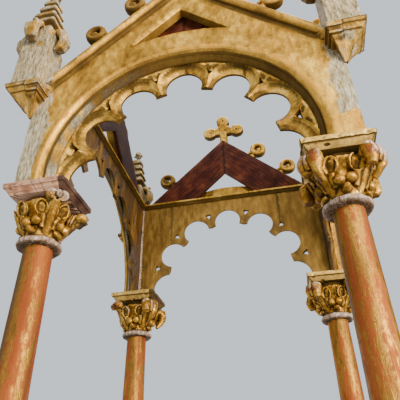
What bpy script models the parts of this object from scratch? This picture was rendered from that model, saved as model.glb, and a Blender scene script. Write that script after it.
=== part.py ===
# Gilded altar canopy in carved wood: a square pedestal carries an altar slab, and four columns
# on the slab carry four arched and gabled walls with crockets, finials and corner pinnacles.
# Metres, +Z up. The origin is on the floor under the middle of the pedestal.
import math

import bmesh
import bpy
from mathutils import Matrix, Vector

GAP = 0.0003  # play between two touching pieces

# Pedestal
PLINTH_SIDE = 0.880
PLINTH_HEIGHT = 0.110
PLINTH_SHELF = 0.030  # how far the plinth's sloped top runs in
BODY_SIDE = 0.780
BODY_HEIGHT = 0.610
PANEL_SILL = 0.075  # from the foot of the body to the foot of its sunk panel
PANEL_SPRING = 0.215  # from the panel's foot to the centre of its cusped head
PANEL_DEPTH = 0.016
PANEL_CUSP_RADIUS = 0.165
PANEL_FOIL_RADIUS = 0.245
PANEL_CUSP_WIDTH = 0.030
CORNICE_SIDE = 0.890
CORNICE_HEIGHT = 0.075
CORNICE_FILLET = 0.022
SLAB_SIDE = 0.850
SLAB_HEIGHT = 0.050
SLAB_NOSE = 0.014  # sloped lower edge of the altar slab

# Columns
COLUMN_SPACING = 0.600  # axis to axis, both ways
COLUMN_HEIGHT = 0.970  # altar slab to the top of the abacus
BASE_SIDE = 0.124
BASE_PLINTH_HEIGHT = 0.028
BASE_HEIGHT = 0.082
BASE_TORUS_RADIUS = 0.055
SHAFT_FOOT_RADIUS = 0.0325
SHAFT_TOP_RADIUS = 0.0285
RING_RADIUS = 0.0450
RING_HEIGHT = 0.0150
BELL_FOOT_RADIUS = 0.0340
BELL_LIP_RADIUS = 0.0540
CAPITAL_HEIGHT = 0.1050  # foot of the ring to the underside of the abacus
ABACUS_SIDE = 0.136
ABACUS_UNDER_SIDE = 0.112
ABACUS_HEIGHT = 0.025
ABACUS_FILLET = 0.012
LEAF_REACH = 0.094  # column axis to the outer side of a corner leaf's knob
LEAF_KNOB_RADIUS = 0.0170
LOST_LEAF = ("front_left", 2)  # capital and the quarter of its broken corner leaf
SMALL_LEAF_HEIGHT = 0.036
SMALL_LEAF_TURN = 0.30  # either side of the middle of a face, in radians

# Arched walls; heights count from the top of the abacus
WALL_OFFSET = 0.005  # column axis to the inner face of the wall
TRACERY_THICK = 0.022
ARCH_BOARD_THICK = 0.027
SPRING_LIFT = 0.036  # the arch centre
ARCH_RADIUS = 0.277
CUSP_RADIUS = 0.207
FOIL_RADIUS = 0.261
CUSP_WIDTH = 0.027
FOIL_COUNT = 5
HALF_FOIL_REACH = 0.2535  # wall centre to the straight foot of the half foil
HALF_FOIL_DROP = 0.009
TRACERY_RIM = 0.007  # bevelled rim round the foils on the outer face
EYE_RADIUS_PLACE = 0.253
EYE_SIZE = 0.0125  # centre to corner of a three-cornered piercing
TRACERY_TOP = 0.345
ARCH_SPLAY_WIDTH = 0.0430  # hollow slope from the flat board down to the arch
ARCH_SPLAY_DEPTH = 0.0233
ARCH_ROLL_RADIUS = 0.0085
ARCH_ROLL_PLACE = 0.0165  # arris of the arch to the middle of the roll on its slope
ARCH_ROLL_SINK = 0.0181  # middle of that roll behind the board's face
RAKE_ROLL_RADIUS = 0.0118
ROLL_PROUD = 0.0020  # how far the gable roll's middle line stands out of the board's face
GABLE_APEX = 0.618
RAKE_ANGLE = math.radians(43.0)
RAKE_BOARD_WIDTH = 0.086
PIERCING_RADIUS = 0.372
RAFTER_WIDTH = 0.116
RAFTER_THICK = 0.0105
STRIP_BOTTOM = 0.338
STRIP_HEIGHT = 0.0175
STRIP_PROJECTION = 0.011

# Carving on the gables
CROCKET_FIRST = 0.129  # along the rake, from the apex
CROCKET_STEP = 0.133
CROCKET_COUNT = 2
CROCKET_HEIGHT = 0.079
CROCKET_BULB_RADIUS = 0.0262
LOST_CROCKET = ("back", 1, 0)  # wall, side of its gable, place from the apex
LOST_CUSP = "left"  # this wall's tracery has lost the tip of its first cusp
LOST_CUSP_RADIUS = 0.030
FINIAL_CENTRE = 0.068  # above the apex
FINIAL_LOBE_PLACE = 0.0535
FINIAL_LOBE_RADIUS = 0.0260
FINIAL_NECK_WIDTH = 0.028
FINIAL_THICK = 0.026

# Corner corbels and pinnacles
PINNACLE_OFFSET = 0.0093  # outer wall face to the pinnacle's axis
CORBEL_SIDE = 0.084
CORBEL_TOP = 0.267
CORBEL_HEIGHT = 0.076
CORBEL_FILLET = 0.013
PINNACLE_SHAFT_SIDE = 0.0700
PINNACLE_BLOCK_FOOT = 0.432
PINNACLE_BLOCK_TOP = 0.498
PINNACLE_BLOCK_SIDE = 0.078
GABLET_REACH = 0.072  # pinnacle axis to the outer side of a gablet leaf
GABLET_FOOT = 0.402
GABLET_TOP = 0.485
GABLET_WIDTH = 0.034
SPIRE_SIDE = 0.062
SPIRE_TOP = 0.632
SPIRE_TIERS = 4
BUD_TOP = 0.672

# Levels and places that follow from the sizes
BODY_Z = PLINTH_HEIGHT + GAP
CORNICE_Z = BODY_Z + BODY_HEIGHT + GAP
SLAB_Z = CORNICE_Z + CORNICE_HEIGHT + GAP
COLUMN_Z = SLAB_Z + SLAB_HEIGHT + GAP
ABACUS_TOP_Z = COLUMN_Z + COLUMN_HEIGHT
WALL_Z = ABACUS_TOP_Z + GAP
INNER_FACE = COLUMN_SPACING / 2 + WALL_OFFSET
BOARD_FACE = INNER_FACE + TRACERY_THICK + GAP
OUTER_FACE = BOARD_FACE + ARCH_BOARD_THICK
PINNACLE_AXIS = OUTER_FACE + PINNACLE_OFFSET
PINNACLE_INNER_SIDE = PINNACLE_AXIS - PINNACLE_SHAFT_SIDE / 2 - GAP

SIDES = ("front", "right", "back", "left")
CORNERS = {
    "front_left": (-1, -1),
    "front_right": (1, -1),
    "back_right": (1, 1),
    "back_left": (-1, 1),
}

ROUND_STEPS = 12
SHAFT_STEPS = 12
FOIL_STEPS = 5
PANEL_FOIL_STEPS = 4
ARCH_STEPS = 14


def clear_scene():
    for thing in list(bpy.data.objects):
        bpy.data.objects.remove(thing, do_unlink=True)


def new_collection(name):
    group = bpy.data.collections.new(name)
    bpy.context.scene.collection.children.link(group)
    return group


def new_material(name, colour, roughness, metallic):
    material = bpy.data.materials.new(name)
    material.use_nodes = True
    shader = material.node_tree.nodes["Principled BSDF"]
    shader.inputs["Base Color"].default_value = (*colour, 1.0)
    shader.inputs["Roughness"].default_value = roughness
    shader.inputs["Metallic"].default_value = metallic
    return material


clear_scene()
PIECES = new_collection("altar_on_pedestal")
CUTTERS = new_collection("cutters")
GILDING = new_material("gilded carving", (0.52, 0.32, 0.08), 0.42, 0.55)
GILT_BOARD = new_material("gilded board", (0.44, 0.27, 0.08), 0.50, 0.45)
BOLE_GILDING = new_material("gilding worn to bole", (0.45, 0.17, 0.06), 0.48, 0.35)
STAINED_WOOD = new_material("dark stained wood", (0.10, 0.025, 0.015), 0.55, 0.0)
BARE_WOOD = new_material("bare reddish wood", (0.42, 0.21, 0.13), 0.70, 0.0)
WORN_GESSO = new_material("worn gesso", (0.36, 0.32, 0.24), 0.75, 0.05)


def place(name, mesh, material, matrix=None, parent=None):
    thing = bpy.data.objects.new(name, mesh)
    mesh.materials.clear()
    mesh.materials.append(material)
    PIECES.objects.link(thing)
    thing.parent = parent
    if matrix is not None:
        thing.matrix_local = matrix
    return thing


def hide_as_cutter(name, mesh, matrix, parent=None):
    thing = bpy.data.objects.new(name, mesh)
    CUTTERS.objects.link(thing)
    thing.parent = parent
    thing.matrix_local = matrix
    thing.hide_render = True
    thing.display_type = "WIRE"
    return thing


def add_boolean(target, cutter, operation):
    modifier = target.modifiers.new(cutter.name, "BOOLEAN")
    modifier.operation = operation
    modifier.object = cutter
    modifier.solver = "EXACT"
    return modifier


def evaluated_mesh(thing, name):
    # Turns the finished shape into a plain mesh in world space and removes its object
    bpy.context.view_layer.update()
    evaluated = thing.evaluated_get(bpy.context.evaluated_depsgraph_get())
    mesh = bpy.data.meshes.new_from_object(evaluated)
    mesh.transform(thing.matrix_world)
    mesh.name = name
    bpy.data.objects.remove(thing, do_unlink=True)
    return mesh


def curve_to_mesh(curve, name):
    thing = bpy.data.objects.new(name, curve)
    PIECES.objects.link(thing)
    return evaluated_mesh(thing, name)


def weld(mesh):
    shape = bmesh.new()
    shape.from_mesh(mesh)
    bmesh.ops.remove_doubles(shape, verts=shape.verts, dist=0.00001)
    bmesh.ops.recalc_face_normals(shape, faces=shape.faces)
    shape.to_mesh(mesh)
    shape.free()
    return mesh


def outline_curve(name, outlines, thickness):
    # Flat curve in its own XY plane, filled between its outlines
    curve = bpy.data.curves.new(name, "CURVE")
    curve.dimensions = "2D"
    curve.fill_mode = "BOTH"
    curve.extrude = thickness / 2
    for outline in outlines:
        spline = curve.splines.new("POLY")
        spline.points.add(len(outline) - 1)
        spline.use_cyclic_u = True
        for point, (across, up) in zip(spline.points, outline):
            point.co = (across, up, 0.0, 1.0)
    return curve


def board_mesh(name, outlines, thickness):
    return weld(curve_to_mesh(outline_curve(name, outlines, thickness), name))


def rimmed_board_mesh(name, outlines, thickness, rim):
    # Board whose +Z face stands up by the rim's width behind a bevel round every edge
    mesh = curve_to_mesh(outline_curve(name, outlines, 0.0), name)
    shape = bmesh.new()
    shape.from_mesh(mesh)
    bmesh.ops.remove_doubles(shape, verts=shape.verts, dist=0.00001)
    bmesh.ops.recalc_face_normals(shape, faces=shape.faces)
    if shape.faces[:][0].normal.z > 0:
        bmesh.ops.reverse_faces(shape, faces=shape.faces)
    flat = bmesh.ops.extrude_face_region(shape, geom=shape.faces[:])
    front_points = [item for item in flat["geom"] if isinstance(item, bmesh.types.BMVert)]
    bmesh.ops.translate(shape, verts=front_points, vec=(0.0, 0.0, thickness - rim))
    bmesh.ops.translate(shape, verts=shape.verts, vec=(0.0, 0.0, -thickness / 2))
    bmesh.ops.recalc_face_normals(shape, faces=shape.faces)
    front = [face for face in shape.faces if face.normal.z > 0.9]
    bmesh.ops.inset_region(
        shape, faces=front, thickness=rim, depth=rim, use_boundary=True, use_even_offset=True
    )
    shape.to_mesh(mesh)
    shape.free()
    return mesh


def break_mesh(spot, radius, depth):
    # Rough six-sided plug that takes a piece out of a board
    shape = bmesh.new()
    bmesh.ops.create_cone(
        shape, cap_ends=True, segments=6, radius1=radius, radius2=radius * 0.94, depth=depth
    )
    bmesh.ops.rotate(shape, verts=shape.verts, matrix=Matrix.Rotation(0.2, 3, "Z"))
    bmesh.ops.translate(shape, verts=shape.verts, vec=(*spot, 0.0))
    mesh = bpy.data.meshes.new("break")
    shape.to_mesh(mesh)
    shape.free()
    return mesh


def tube_mesh(name, paths, sides_level):
    # Each path is a list of (place, radius)
    curve = bpy.data.curves.new(name, "CURVE")
    curve.dimensions = "3D"
    curve.bevel_depth = 1.0
    curve.bevel_resolution = sides_level
    curve.use_fill_caps = True
    for path in paths:
        spline = curve.splines.new("POLY")
        spline.points.add(len(path) - 1)
        for point, (spot, radius) in zip(spline.points, path):
            point.co = (*spot, 1.0)
            point.radius = radius
    return weld(curve_to_mesh(curve, name))


def profile_mesh(name, profile):
    mesh = bpy.data.meshes.new(name)
    shape = bmesh.new()
    points = [shape.verts.new((radius, 0.0, height)) for radius, height in profile]
    for first, second in zip(points, points[1:]):
        shape.edges.new((first, second))
    shape.to_mesh(mesh)
    shape.free()
    return mesh


def add_screw(thing, steps):
    modifier = thing.modifiers.new("turning", "SCREW")
    modifier.axis = "Z"
    modifier.angle = math.tau
    modifier.steps = steps
    modifier.render_steps = steps
    modifier.use_merge_vertices = True
    modifier.merge_threshold = 0.00001
    return modifier


def turned(name, profile, material, spot, steps=ROUND_STEPS):
    # A profile of (radius, height) from the top down, turned about a vertical axis
    thing = place(name, profile_mesh(name, profile), material, Matrix.Translation(spot))
    add_screw(thing, steps)
    thing.data.shade_smooth()
    return thing


def square_turned(name, profile, material, spot):
    # A profile of (half side, height) run round a square with mitred corners
    corner_profile = [(half * math.sqrt(2), height) for half, height in profile]
    matrix = Matrix.Translation(spot) @ Matrix.Rotation(math.radians(45), 4, "Z")
    thing = place(name, profile_mesh(name, corner_profile), material, matrix)
    add_screw(thing, 4)
    return thing


def arc(centre, radius, start, end, steps):
    # Points on a circle from one angle to the other, both ends included
    points = []
    for index in range(steps + 1):
        angle = start + (end - start) * index / steps
        points.append(
            (centre[0] + radius * math.cos(angle), centre[1] + radius * math.sin(angle))
        )
    return points


def polar(radius, angle, rise):
    return (radius * math.cos(angle), rise + radius * math.sin(angle))


def foil_arc(first, second, depth_point, steps):
    # Circle through two cusp corners and the deepest point of the foil between them
    middle = Vector(((first[0] + second[0]) / 2, (first[1] + second[1]) / 2))
    deepest = Vector(depth_point)
    half_chord = (Vector(first) - middle).length
    sagitta = (deepest - middle).length
    radius = (half_chord**2 + sagitta**2) / (2 * sagitta)
    centre = deepest + (middle - deepest).normalized() * radius
    start = math.atan2(first[1] - centre.y, first[0] - centre.x)
    end = math.atan2(second[1] - centre.y, second[0] - centre.x)
    while end < start:
        end += math.tau
    return arc(centre, radius, start, end, steps)


def cusped_opening(rise, cusp_radius, foil_radius, cusp_width, foils, reach, drop, steps):
    # From the right foot over the head to the left foot
    between = math.pi / (foils + 1)
    half_tip = math.asin(cusp_width / 2 / cusp_radius)
    lower = polar(cusp_radius, between / 2 - half_tip, rise)
    level = rise - drop
    lift = lower[1] - level
    centre = (reach**2 - lower[0] ** 2 - lift**2) / (2 * (reach - lower[0]))
    radius = reach - centre
    end = math.atan2(lift, lower[0] - centre)
    right_half = arc((centre, level), radius, 0.0, end, steps // 2)
    points = [(reach, 0.0)] + right_half
    for index in range(foils):
        angle = between * (index + 1)
        first = polar(cusp_radius, angle - between / 2 + half_tip, rise)
        second = polar(cusp_radius, angle + between / 2 - half_tip, rise)
        points += foil_arc(first, second, polar(foil_radius, angle, rise), steps)
    points += [(-across, up) for across, up in reversed(right_half)] + [(-reach, 0.0)]
    return points


def eye(angle):
    # Small three-cornered piercing whose point looks outwards
    spot = polar(EYE_RADIUS_PLACE, angle, SPRING_LIFT)
    corners = []
    for turn in (0.0, math.tau / 3, 2 * math.tau / 3):
        corners.append(
            (spot[0] + EYE_SIZE * math.cos(angle + turn), spot[1] + EYE_SIZE * math.sin(angle + turn))
        )
    return corners


def rake_height(across, apex=GABLE_APEX):
    return apex - abs(across) * math.tan(RAKE_ANGLE)


def inner_apex(width):
    return GABLE_APEX - width / math.cos(RAKE_ANGLE)


def wall_matrix(distance):
    # Stands a flat board upright with its +Z face outwards, its middle at this distance
    return Matrix.Translation((0.0, -distance, WALL_Z)) @ Matrix.Rotation(math.pi / 2, 4, "X")


def make_pedestal():
    half = PLINTH_SIDE / 2
    profile = [
        (0.0, PLINTH_HEIGHT),
        (half - PLINTH_SHELF, PLINTH_HEIGHT),
        (half - PLINTH_SHELF, PLINTH_HEIGHT - PLINTH_SHELF / 3),
        (half, PLINTH_HEIGHT - PLINTH_SHELF),
        (half, 0.0),
        (0.0, 0.0),
    ]
    square_turned("pedestal_plinth", profile, GILT_BOARD, (0.0, 0.0, 0.0))
    make_pedestal_body()
    half = CORNICE_SIDE / 2
    inside = BODY_SIDE / 2
    lower = CORNICE_HEIGHT - CORNICE_FILLET
    profile = [
        (0.0, CORNICE_HEIGHT),
        (half, CORNICE_HEIGHT),
        (half, lower),
        (half - (half - inside) * 0.25, lower * 0.80),
        (half - (half - inside) * 0.55, lower * 0.62),
        (inside + 0.010, lower * 0.30),
        (inside + 0.010, 0.0),
        (0.0, 0.0),
    ]
    square_turned("pedestal_cornice", profile, GILDING, (0.0, 0.0, CORNICE_Z))
    half = SLAB_SIDE / 2
    profile = [
        (0.0, SLAB_HEIGHT),
        (half - SLAB_NOSE / 3, SLAB_HEIGHT),
        (half, SLAB_HEIGHT - SLAB_NOSE / 3),
        (half, SLAB_NOSE),
        (half - SLAB_NOSE, 0.0),
        (0.0, 0.0),
    ]
    square_turned("altar_slab", profile, WORN_GESSO, (0.0, 0.0, SLAB_Z))


def make_pedestal_body():
    half = BODY_SIDE / 2
    profile = [(0.0, BODY_HEIGHT), (half, BODY_HEIGHT), (half, 0.0), (0.0, 0.0)]
    body = square_turned("pedestal_body", profile, GILT_BOARD, (0.0, 0.0, BODY_Z))
    outline = cusped_opening(
        PANEL_SPRING,
        PANEL_CUSP_RADIUS,
        PANEL_FOIL_RADIUS,
        PANEL_CUSP_WIDTH,
        3,
        PANEL_FOIL_RADIUS,
        0.0,
        PANEL_FOIL_STEPS,
    )
    mesh = board_mesh("panel_sinking", [outline], PANEL_DEPTH * 2)
    for index, side in enumerate(SIDES):
        turn = Matrix.Rotation(index * math.pi / 2, 4, "Z")
        stand = Matrix.Translation((0.0, -half, BODY_Z + PANEL_SILL))
        matrix = turn @ stand @ Matrix.Rotation(math.pi / 2, 4, "X")
        cutter = hide_as_cutter(f"panel_sinking_{side}", mesh, matrix)
        add_boolean(body, cutter, "DIFFERENCE")


def make_base(corner, spot):
    profile = [
        (0.0, BASE_HEIGHT),
        (SHAFT_FOOT_RADIUS + 0.005, BASE_HEIGHT),
        (SHAFT_FOOT_RADIUS + 0.012, BASE_HEIGHT - 0.010),
        (SHAFT_FOOT_RADIUS + 0.007, BASE_HEIGHT - 0.020),
        (SHAFT_FOOT_RADIUS + 0.010, BASE_HEIGHT - 0.032),
        (BASE_TORUS_RADIUS - 0.004, BASE_HEIGHT - 0.036),
        (BASE_TORUS_RADIUS, BASE_HEIGHT - 0.044),
        (BASE_TORUS_RADIUS - 0.003, BASE_PLINTH_HEIGHT - 0.002),
        (0.0, BASE_PLINTH_HEIGHT - 0.002),
    ]
    mouldings = profile_mesh("base_mouldings", profile)
    half = BASE_SIDE / 2
    block = [
        (0.0, BASE_PLINTH_HEIGHT),
        (half, BASE_PLINTH_HEIGHT),
        (half, 0.0),
        (0.0, 0.0),
    ]
    base = square_turned(f"column_base_{corner}", block, GILDING, spot)
    rings = hide_as_cutter(f"base_mouldings_{corner}", mouldings, Matrix.Translation(spot))
    add_screw(rings, ROUND_STEPS)
    add_boolean(base, rings, "UNION")


def shaft_radius(share):
    # Straight for the lower third, then drawn in gently to the top
    upper = max(0.0, (share - 1 / 3) * 1.5)
    return SHAFT_FOOT_RADIUS - (SHAFT_FOOT_RADIUS - SHAFT_TOP_RADIUS) * upper**1.4


def make_shaft(corner, spot):
    foot = BASE_HEIGHT + GAP
    top = COLUMN_HEIGHT - ABACUS_HEIGHT - GAP - CAPITAL_HEIGHT - GAP
    profile = [(0.0, top)]
    for share in (1.0, 0.66, 0.33, 0.0):
        profile.append((shaft_radius(share), foot + (top - foot) * share))
    profile.append((0.0, foot))
    turned(f"column_shaft_{corner}", profile, BOLE_GILDING, spot, SHAFT_STEPS)


def corner_leaf_path(angle):
    # Rises on the bell, leans out under the abacus corner and ends in a curled knob
    reach = LEAF_REACH - LEAF_KNOB_RADIUS
    lip = CAPITAL_HEIGHT
    route = (
        (BELL_FOOT_RADIUS - 0.004, RING_HEIGHT + 0.010, LEAF_KNOB_RADIUS * 0.45),
        (reach - 0.018, lip * 0.60, LEAF_KNOB_RADIUS * 0.86),
        (reach - 0.001, lip - LEAF_KNOB_RADIUS * 1.15, LEAF_KNOB_RADIUS),
        (reach + 0.006, lip - LEAF_KNOB_RADIUS * 1.75, LEAF_KNOB_RADIUS * 0.45),
    )
    path = []
    for radius, height, width in route:
        path.append(((radius * math.cos(angle), radius * math.sin(angle), height), width))
    return path


def small_leaf_path(angle):
    lip = CAPITAL_HEIGHT
    foot = lip * 0.42
    route = (
        (BELL_FOOT_RADIUS + 0.002, foot, 0.0045),
        (BELL_FOOT_RADIUS + 0.009, foot + SMALL_LEAF_HEIGHT * 0.55, 0.0090),
        (BELL_FOOT_RADIUS + 0.016, foot + SMALL_LEAF_HEIGHT, 0.0050),
    )
    path = []
    for radius, height, width in route:
        path.append(((radius * math.cos(angle), radius * math.sin(angle), height), width))
    return path


def make_capital(corner, spot, leaves):
    ring = RING_HEIGHT
    profile = [
        (0.0, CAPITAL_HEIGHT),
        (BELL_LIP_RADIUS, CAPITAL_HEIGHT),
        (BELL_LIP_RADIUS - 0.001, CAPITAL_HEIGHT - 0.008),
        (BELL_FOOT_RADIUS + 0.006, CAPITAL_HEIGHT * 0.48),
        (BELL_FOOT_RADIUS, ring),
        (RING_RADIUS - 0.002, ring * 0.85),
        (RING_RADIUS, ring * 0.5),
        (RING_RADIUS - 0.005, 0.0),
        (0.0, 0.0),
    ]
    capital = turned(f"capital_{corner}", profile, GILDING, spot)
    for name, mesh in leaves.items():
        carving = hide_as_cutter(f"{name}_{corner}", mesh, Matrix.Translation(spot))
        add_boolean(capital, carving, "UNION")


def make_abacus(corner, spot):
    half = ABACUS_SIDE / 2
    profile = [
        (0.0, ABACUS_HEIGHT),
        (half, ABACUS_HEIGHT),
        (half, ABACUS_HEIGHT - ABACUS_FILLET),
        (ABACUS_UNDER_SIDE / 2, 0.0),
        (0.0, 0.0),
    ]
    finish = BARE_WOOD if corner == "front_left" else GILDING
    square_turned(f"abacus_{corner}", profile, finish, spot)


def make_columns():
    quarter = math.pi / 2
    diagonals = [math.pi / 4 + quarter * index for index in range(4)]
    small_turns = (-SMALL_LEAF_TURN, SMALL_LEAF_TURN)
    sideways = [quarter * index + turn for index in range(4) for turn in small_turns]
    small_leaves = tube_mesh("small_leaves", [small_leaf_path(a) for a in sideways], 0)
    capital_z = COLUMN_Z + COLUMN_HEIGHT - ABACUS_HEIGHT - GAP - CAPITAL_HEIGHT
    for corner, (across, back) in CORNERS.items():
        x = across * COLUMN_SPACING / 2
        y = back * COLUMN_SPACING / 2
        make_base(corner, (x, y, COLUMN_Z))
        make_shaft(corner, (x, y, COLUMN_Z))
        kept = [a for index, a in enumerate(diagonals) if (corner, index) != LOST_LEAF]
        leaves = {
            "corner_leaves": tube_mesh("corner_leaves", [corner_leaf_path(a) for a in kept], 1),
            "small_leaves": small_leaves,
        }
        make_capital(corner, (x, y, capital_z), leaves)
        make_abacus(corner, (x, y, ABACUS_TOP_Z - ABACUS_HEIGHT))


def tracery_outlines(half_width):
    opening = cusped_opening(
        SPRING_LIFT,
        CUSP_RADIUS,
        FOIL_RADIUS,
        CUSP_WIDTH,
        FOIL_COUNT,
        HALF_FOIL_REACH,
        HALF_FOIL_DROP,
        FOIL_STEPS,
    )
    edge = [
        (-half_width, 0.0),
        (-half_width, TRACERY_TOP),
        (half_width, TRACERY_TOP),
        (half_width, 0.0),
    ]
    between = math.pi / (FOIL_COUNT + 1)
    eyes = [eye(between * (index + 0.5)) for index in range(FOIL_COUNT + 1)]
    return [edge + opening] + eyes


def piercing_outline():
    # Three-sided opening over the arch: two raking edges above an arc
    apex = inner_apex(RAKE_BOARD_WIDTH)
    slope = math.tan(RAKE_ANGLE)
    rise = apex - SPRING_LIFT
    square = 1 + slope**2
    linear = rise * slope
    across = (linear - math.sqrt(linear**2 - square * (rise**2 - PIERCING_RADIUS**2))) / square
    start = math.atan2(rise - across * slope, across)
    lower = arc((0.0, SPRING_LIFT), PIERCING_RADIUS, start, math.pi - start, 8)
    return lower + [(0.0, apex)]


def arch_board_outline(side):
    opening = [(ARCH_RADIUS, 0.0)]
    opening += arc((0.0, SPRING_LIFT), ARCH_RADIUS, 0.0, math.pi, ARCH_STEPS)
    opening.append((-ARCH_RADIUS, 0.0))
    if side in ("front", "back"):
        # The corner stops at the corbel's top, where the pinnacle stands on it
        shoulder = [
            (-OUTER_FACE, 0.0),
            (-OUTER_FACE, CORBEL_TOP),
            (-PINNACLE_INNER_SIDE, CORBEL_TOP),
            (-PINNACLE_INNER_SIDE, rake_height(PINNACLE_INNER_SIDE)),
        ]
    else:
        end = BOARD_FACE - GAP
        shoulder = [(-end, 0.0), (-end, rake_height(end))]
    mirrored = [(-across, up) for across, up in reversed(shoulder)]
    return opening + shoulder + [(0.0, GABLE_APEX)] + mirrored


def arch_roll_path():
    radius = ARCH_RADIUS + ARCH_ROLL_PLACE
    points = [(radius, 0.001)] + arc((0.0, SPRING_LIFT), radius, 0.0, math.pi, ARCH_STEPS)
    points.append((-radius, 0.001))
    return [((across, up, 0.0), ARCH_ROLL_RADIUS) for across, up in points]


def arch_splay_mesh():
    # Flaring plug, widest at the board's face, that takes the slope off the arch's edge
    widening = ARCH_SPLAY_WIDTH / ARCH_SPLAY_DEPTH
    height = ARCH_SPLAY_DEPTH * 2
    shape = bmesh.new()
    bmesh.ops.create_cone(
        shape,
        cap_ends=True,
        segments=ARCH_STEPS * 2,
        radius1=ARCH_RADIUS + ARCH_SPLAY_WIDTH - height * widening / 2,
        radius2=ARCH_RADIUS + ARCH_SPLAY_WIDTH + height * widening / 2,
        depth=height,
    )
    bmesh.ops.translate(shape, verts=shape.verts, vec=(0.0, SPRING_LIFT, 0.0))
    mesh = bpy.data.meshes.new("arch_splay")
    shape.to_mesh(mesh)
    shape.free()
    return mesh


def rake_roll_path():
    drop = RAKE_ROLL_RADIUS / math.cos(RAKE_ANGLE)
    end = PINNACLE_INNER_SIDE - RAKE_ROLL_RADIUS * 0.9
    points = [
        (-end, rake_height(end) - drop),
        (0.0, GABLE_APEX - drop),
        (end, rake_height(end) - drop),
    ]
    return [((across, up, 0.0), RAKE_ROLL_RADIUS) for across, up in points]


def crocket_path(hand, place_from_apex):
    # A stem on the rake that swells to a bulb leaning up the slope
    along = Vector((-hand * math.cos(RAKE_ANGLE), math.sin(RAKE_ANGLE), 0.0))
    outwards = Vector((hand * math.sin(RAKE_ANGLE), math.cos(RAKE_ANGLE), 0.0))
    distance = CROCKET_FIRST + CROCKET_STEP * place_from_apex
    root = Vector((0.0, GABLE_APEX, 0.0)) - along * distance
    centre = CROCKET_HEIGHT - CROCKET_BULB_RADIUS
    route = (
        (-0.007, 0.0, CROCKET_BULB_RADIUS * 0.50),
        (centre * 0.50, 0.0, CROCKET_BULB_RADIUS * 0.50),
        (centre * 0.88, 0.003, CROCKET_BULB_RADIUS),
        (CROCKET_HEIGHT, 0.010, CROCKET_BULB_RADIUS * 0.30),
    )
    return [(root + outwards * height + along * lean, width) for height, lean, width in route]


def crocket_mesh(side):
    paths = []
    for hand in (-1, 1):
        for index in range(CROCKET_COUNT):
            if (side, hand, index) != LOST_CROCKET:
                paths.append(crocket_path(hand, index))
    return tube_mesh(f"crockets_{side}", paths, 1)


def rafter_outline(hand):
    foot = TRACERY_TOP + GAP
    slope = math.tan(RAKE_ANGLE)
    low = inner_apex(RAFTER_WIDTH)
    middle = GAP / 2
    points = [
        (middle, rake_height(middle)),
        ((GABLE_APEX - foot) / slope, foot),
        ((low - foot) / slope, foot),
        (middle, low - middle * slope),
    ]
    return [(hand * across, up) for across, up in points]


def finial_outline():
    # Cross of three round lobes whose foot sits astride the gable's apex
    centre = GABLE_APEX + FINIAL_CENTRE
    neck = FINIAL_NECK_WIDTH / 2
    open_angle = math.asin(neck / FINIAL_LOBE_RADIUS)
    points = [
        (neck, rake_height(neck) + GAP),
        (neck, centre - neck),
    ]
    for quarter in range(3):
        direction = quarter * math.pi / 2
        lobe = (
            FINIAL_LOBE_PLACE * math.cos(direction),
            centre + FINIAL_LOBE_PLACE * math.sin(direction),
        )
        start = direction - math.pi + open_angle
        end = direction + math.pi - open_angle
        points += arc(lobe, FINIAL_LOBE_RADIUS, start, end, 6)
    points += [
        (-neck, centre - neck),
        (-neck, rake_height(neck) + GAP),
        (0.0, GABLE_APEX + GAP),
    ]
    return points


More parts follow.
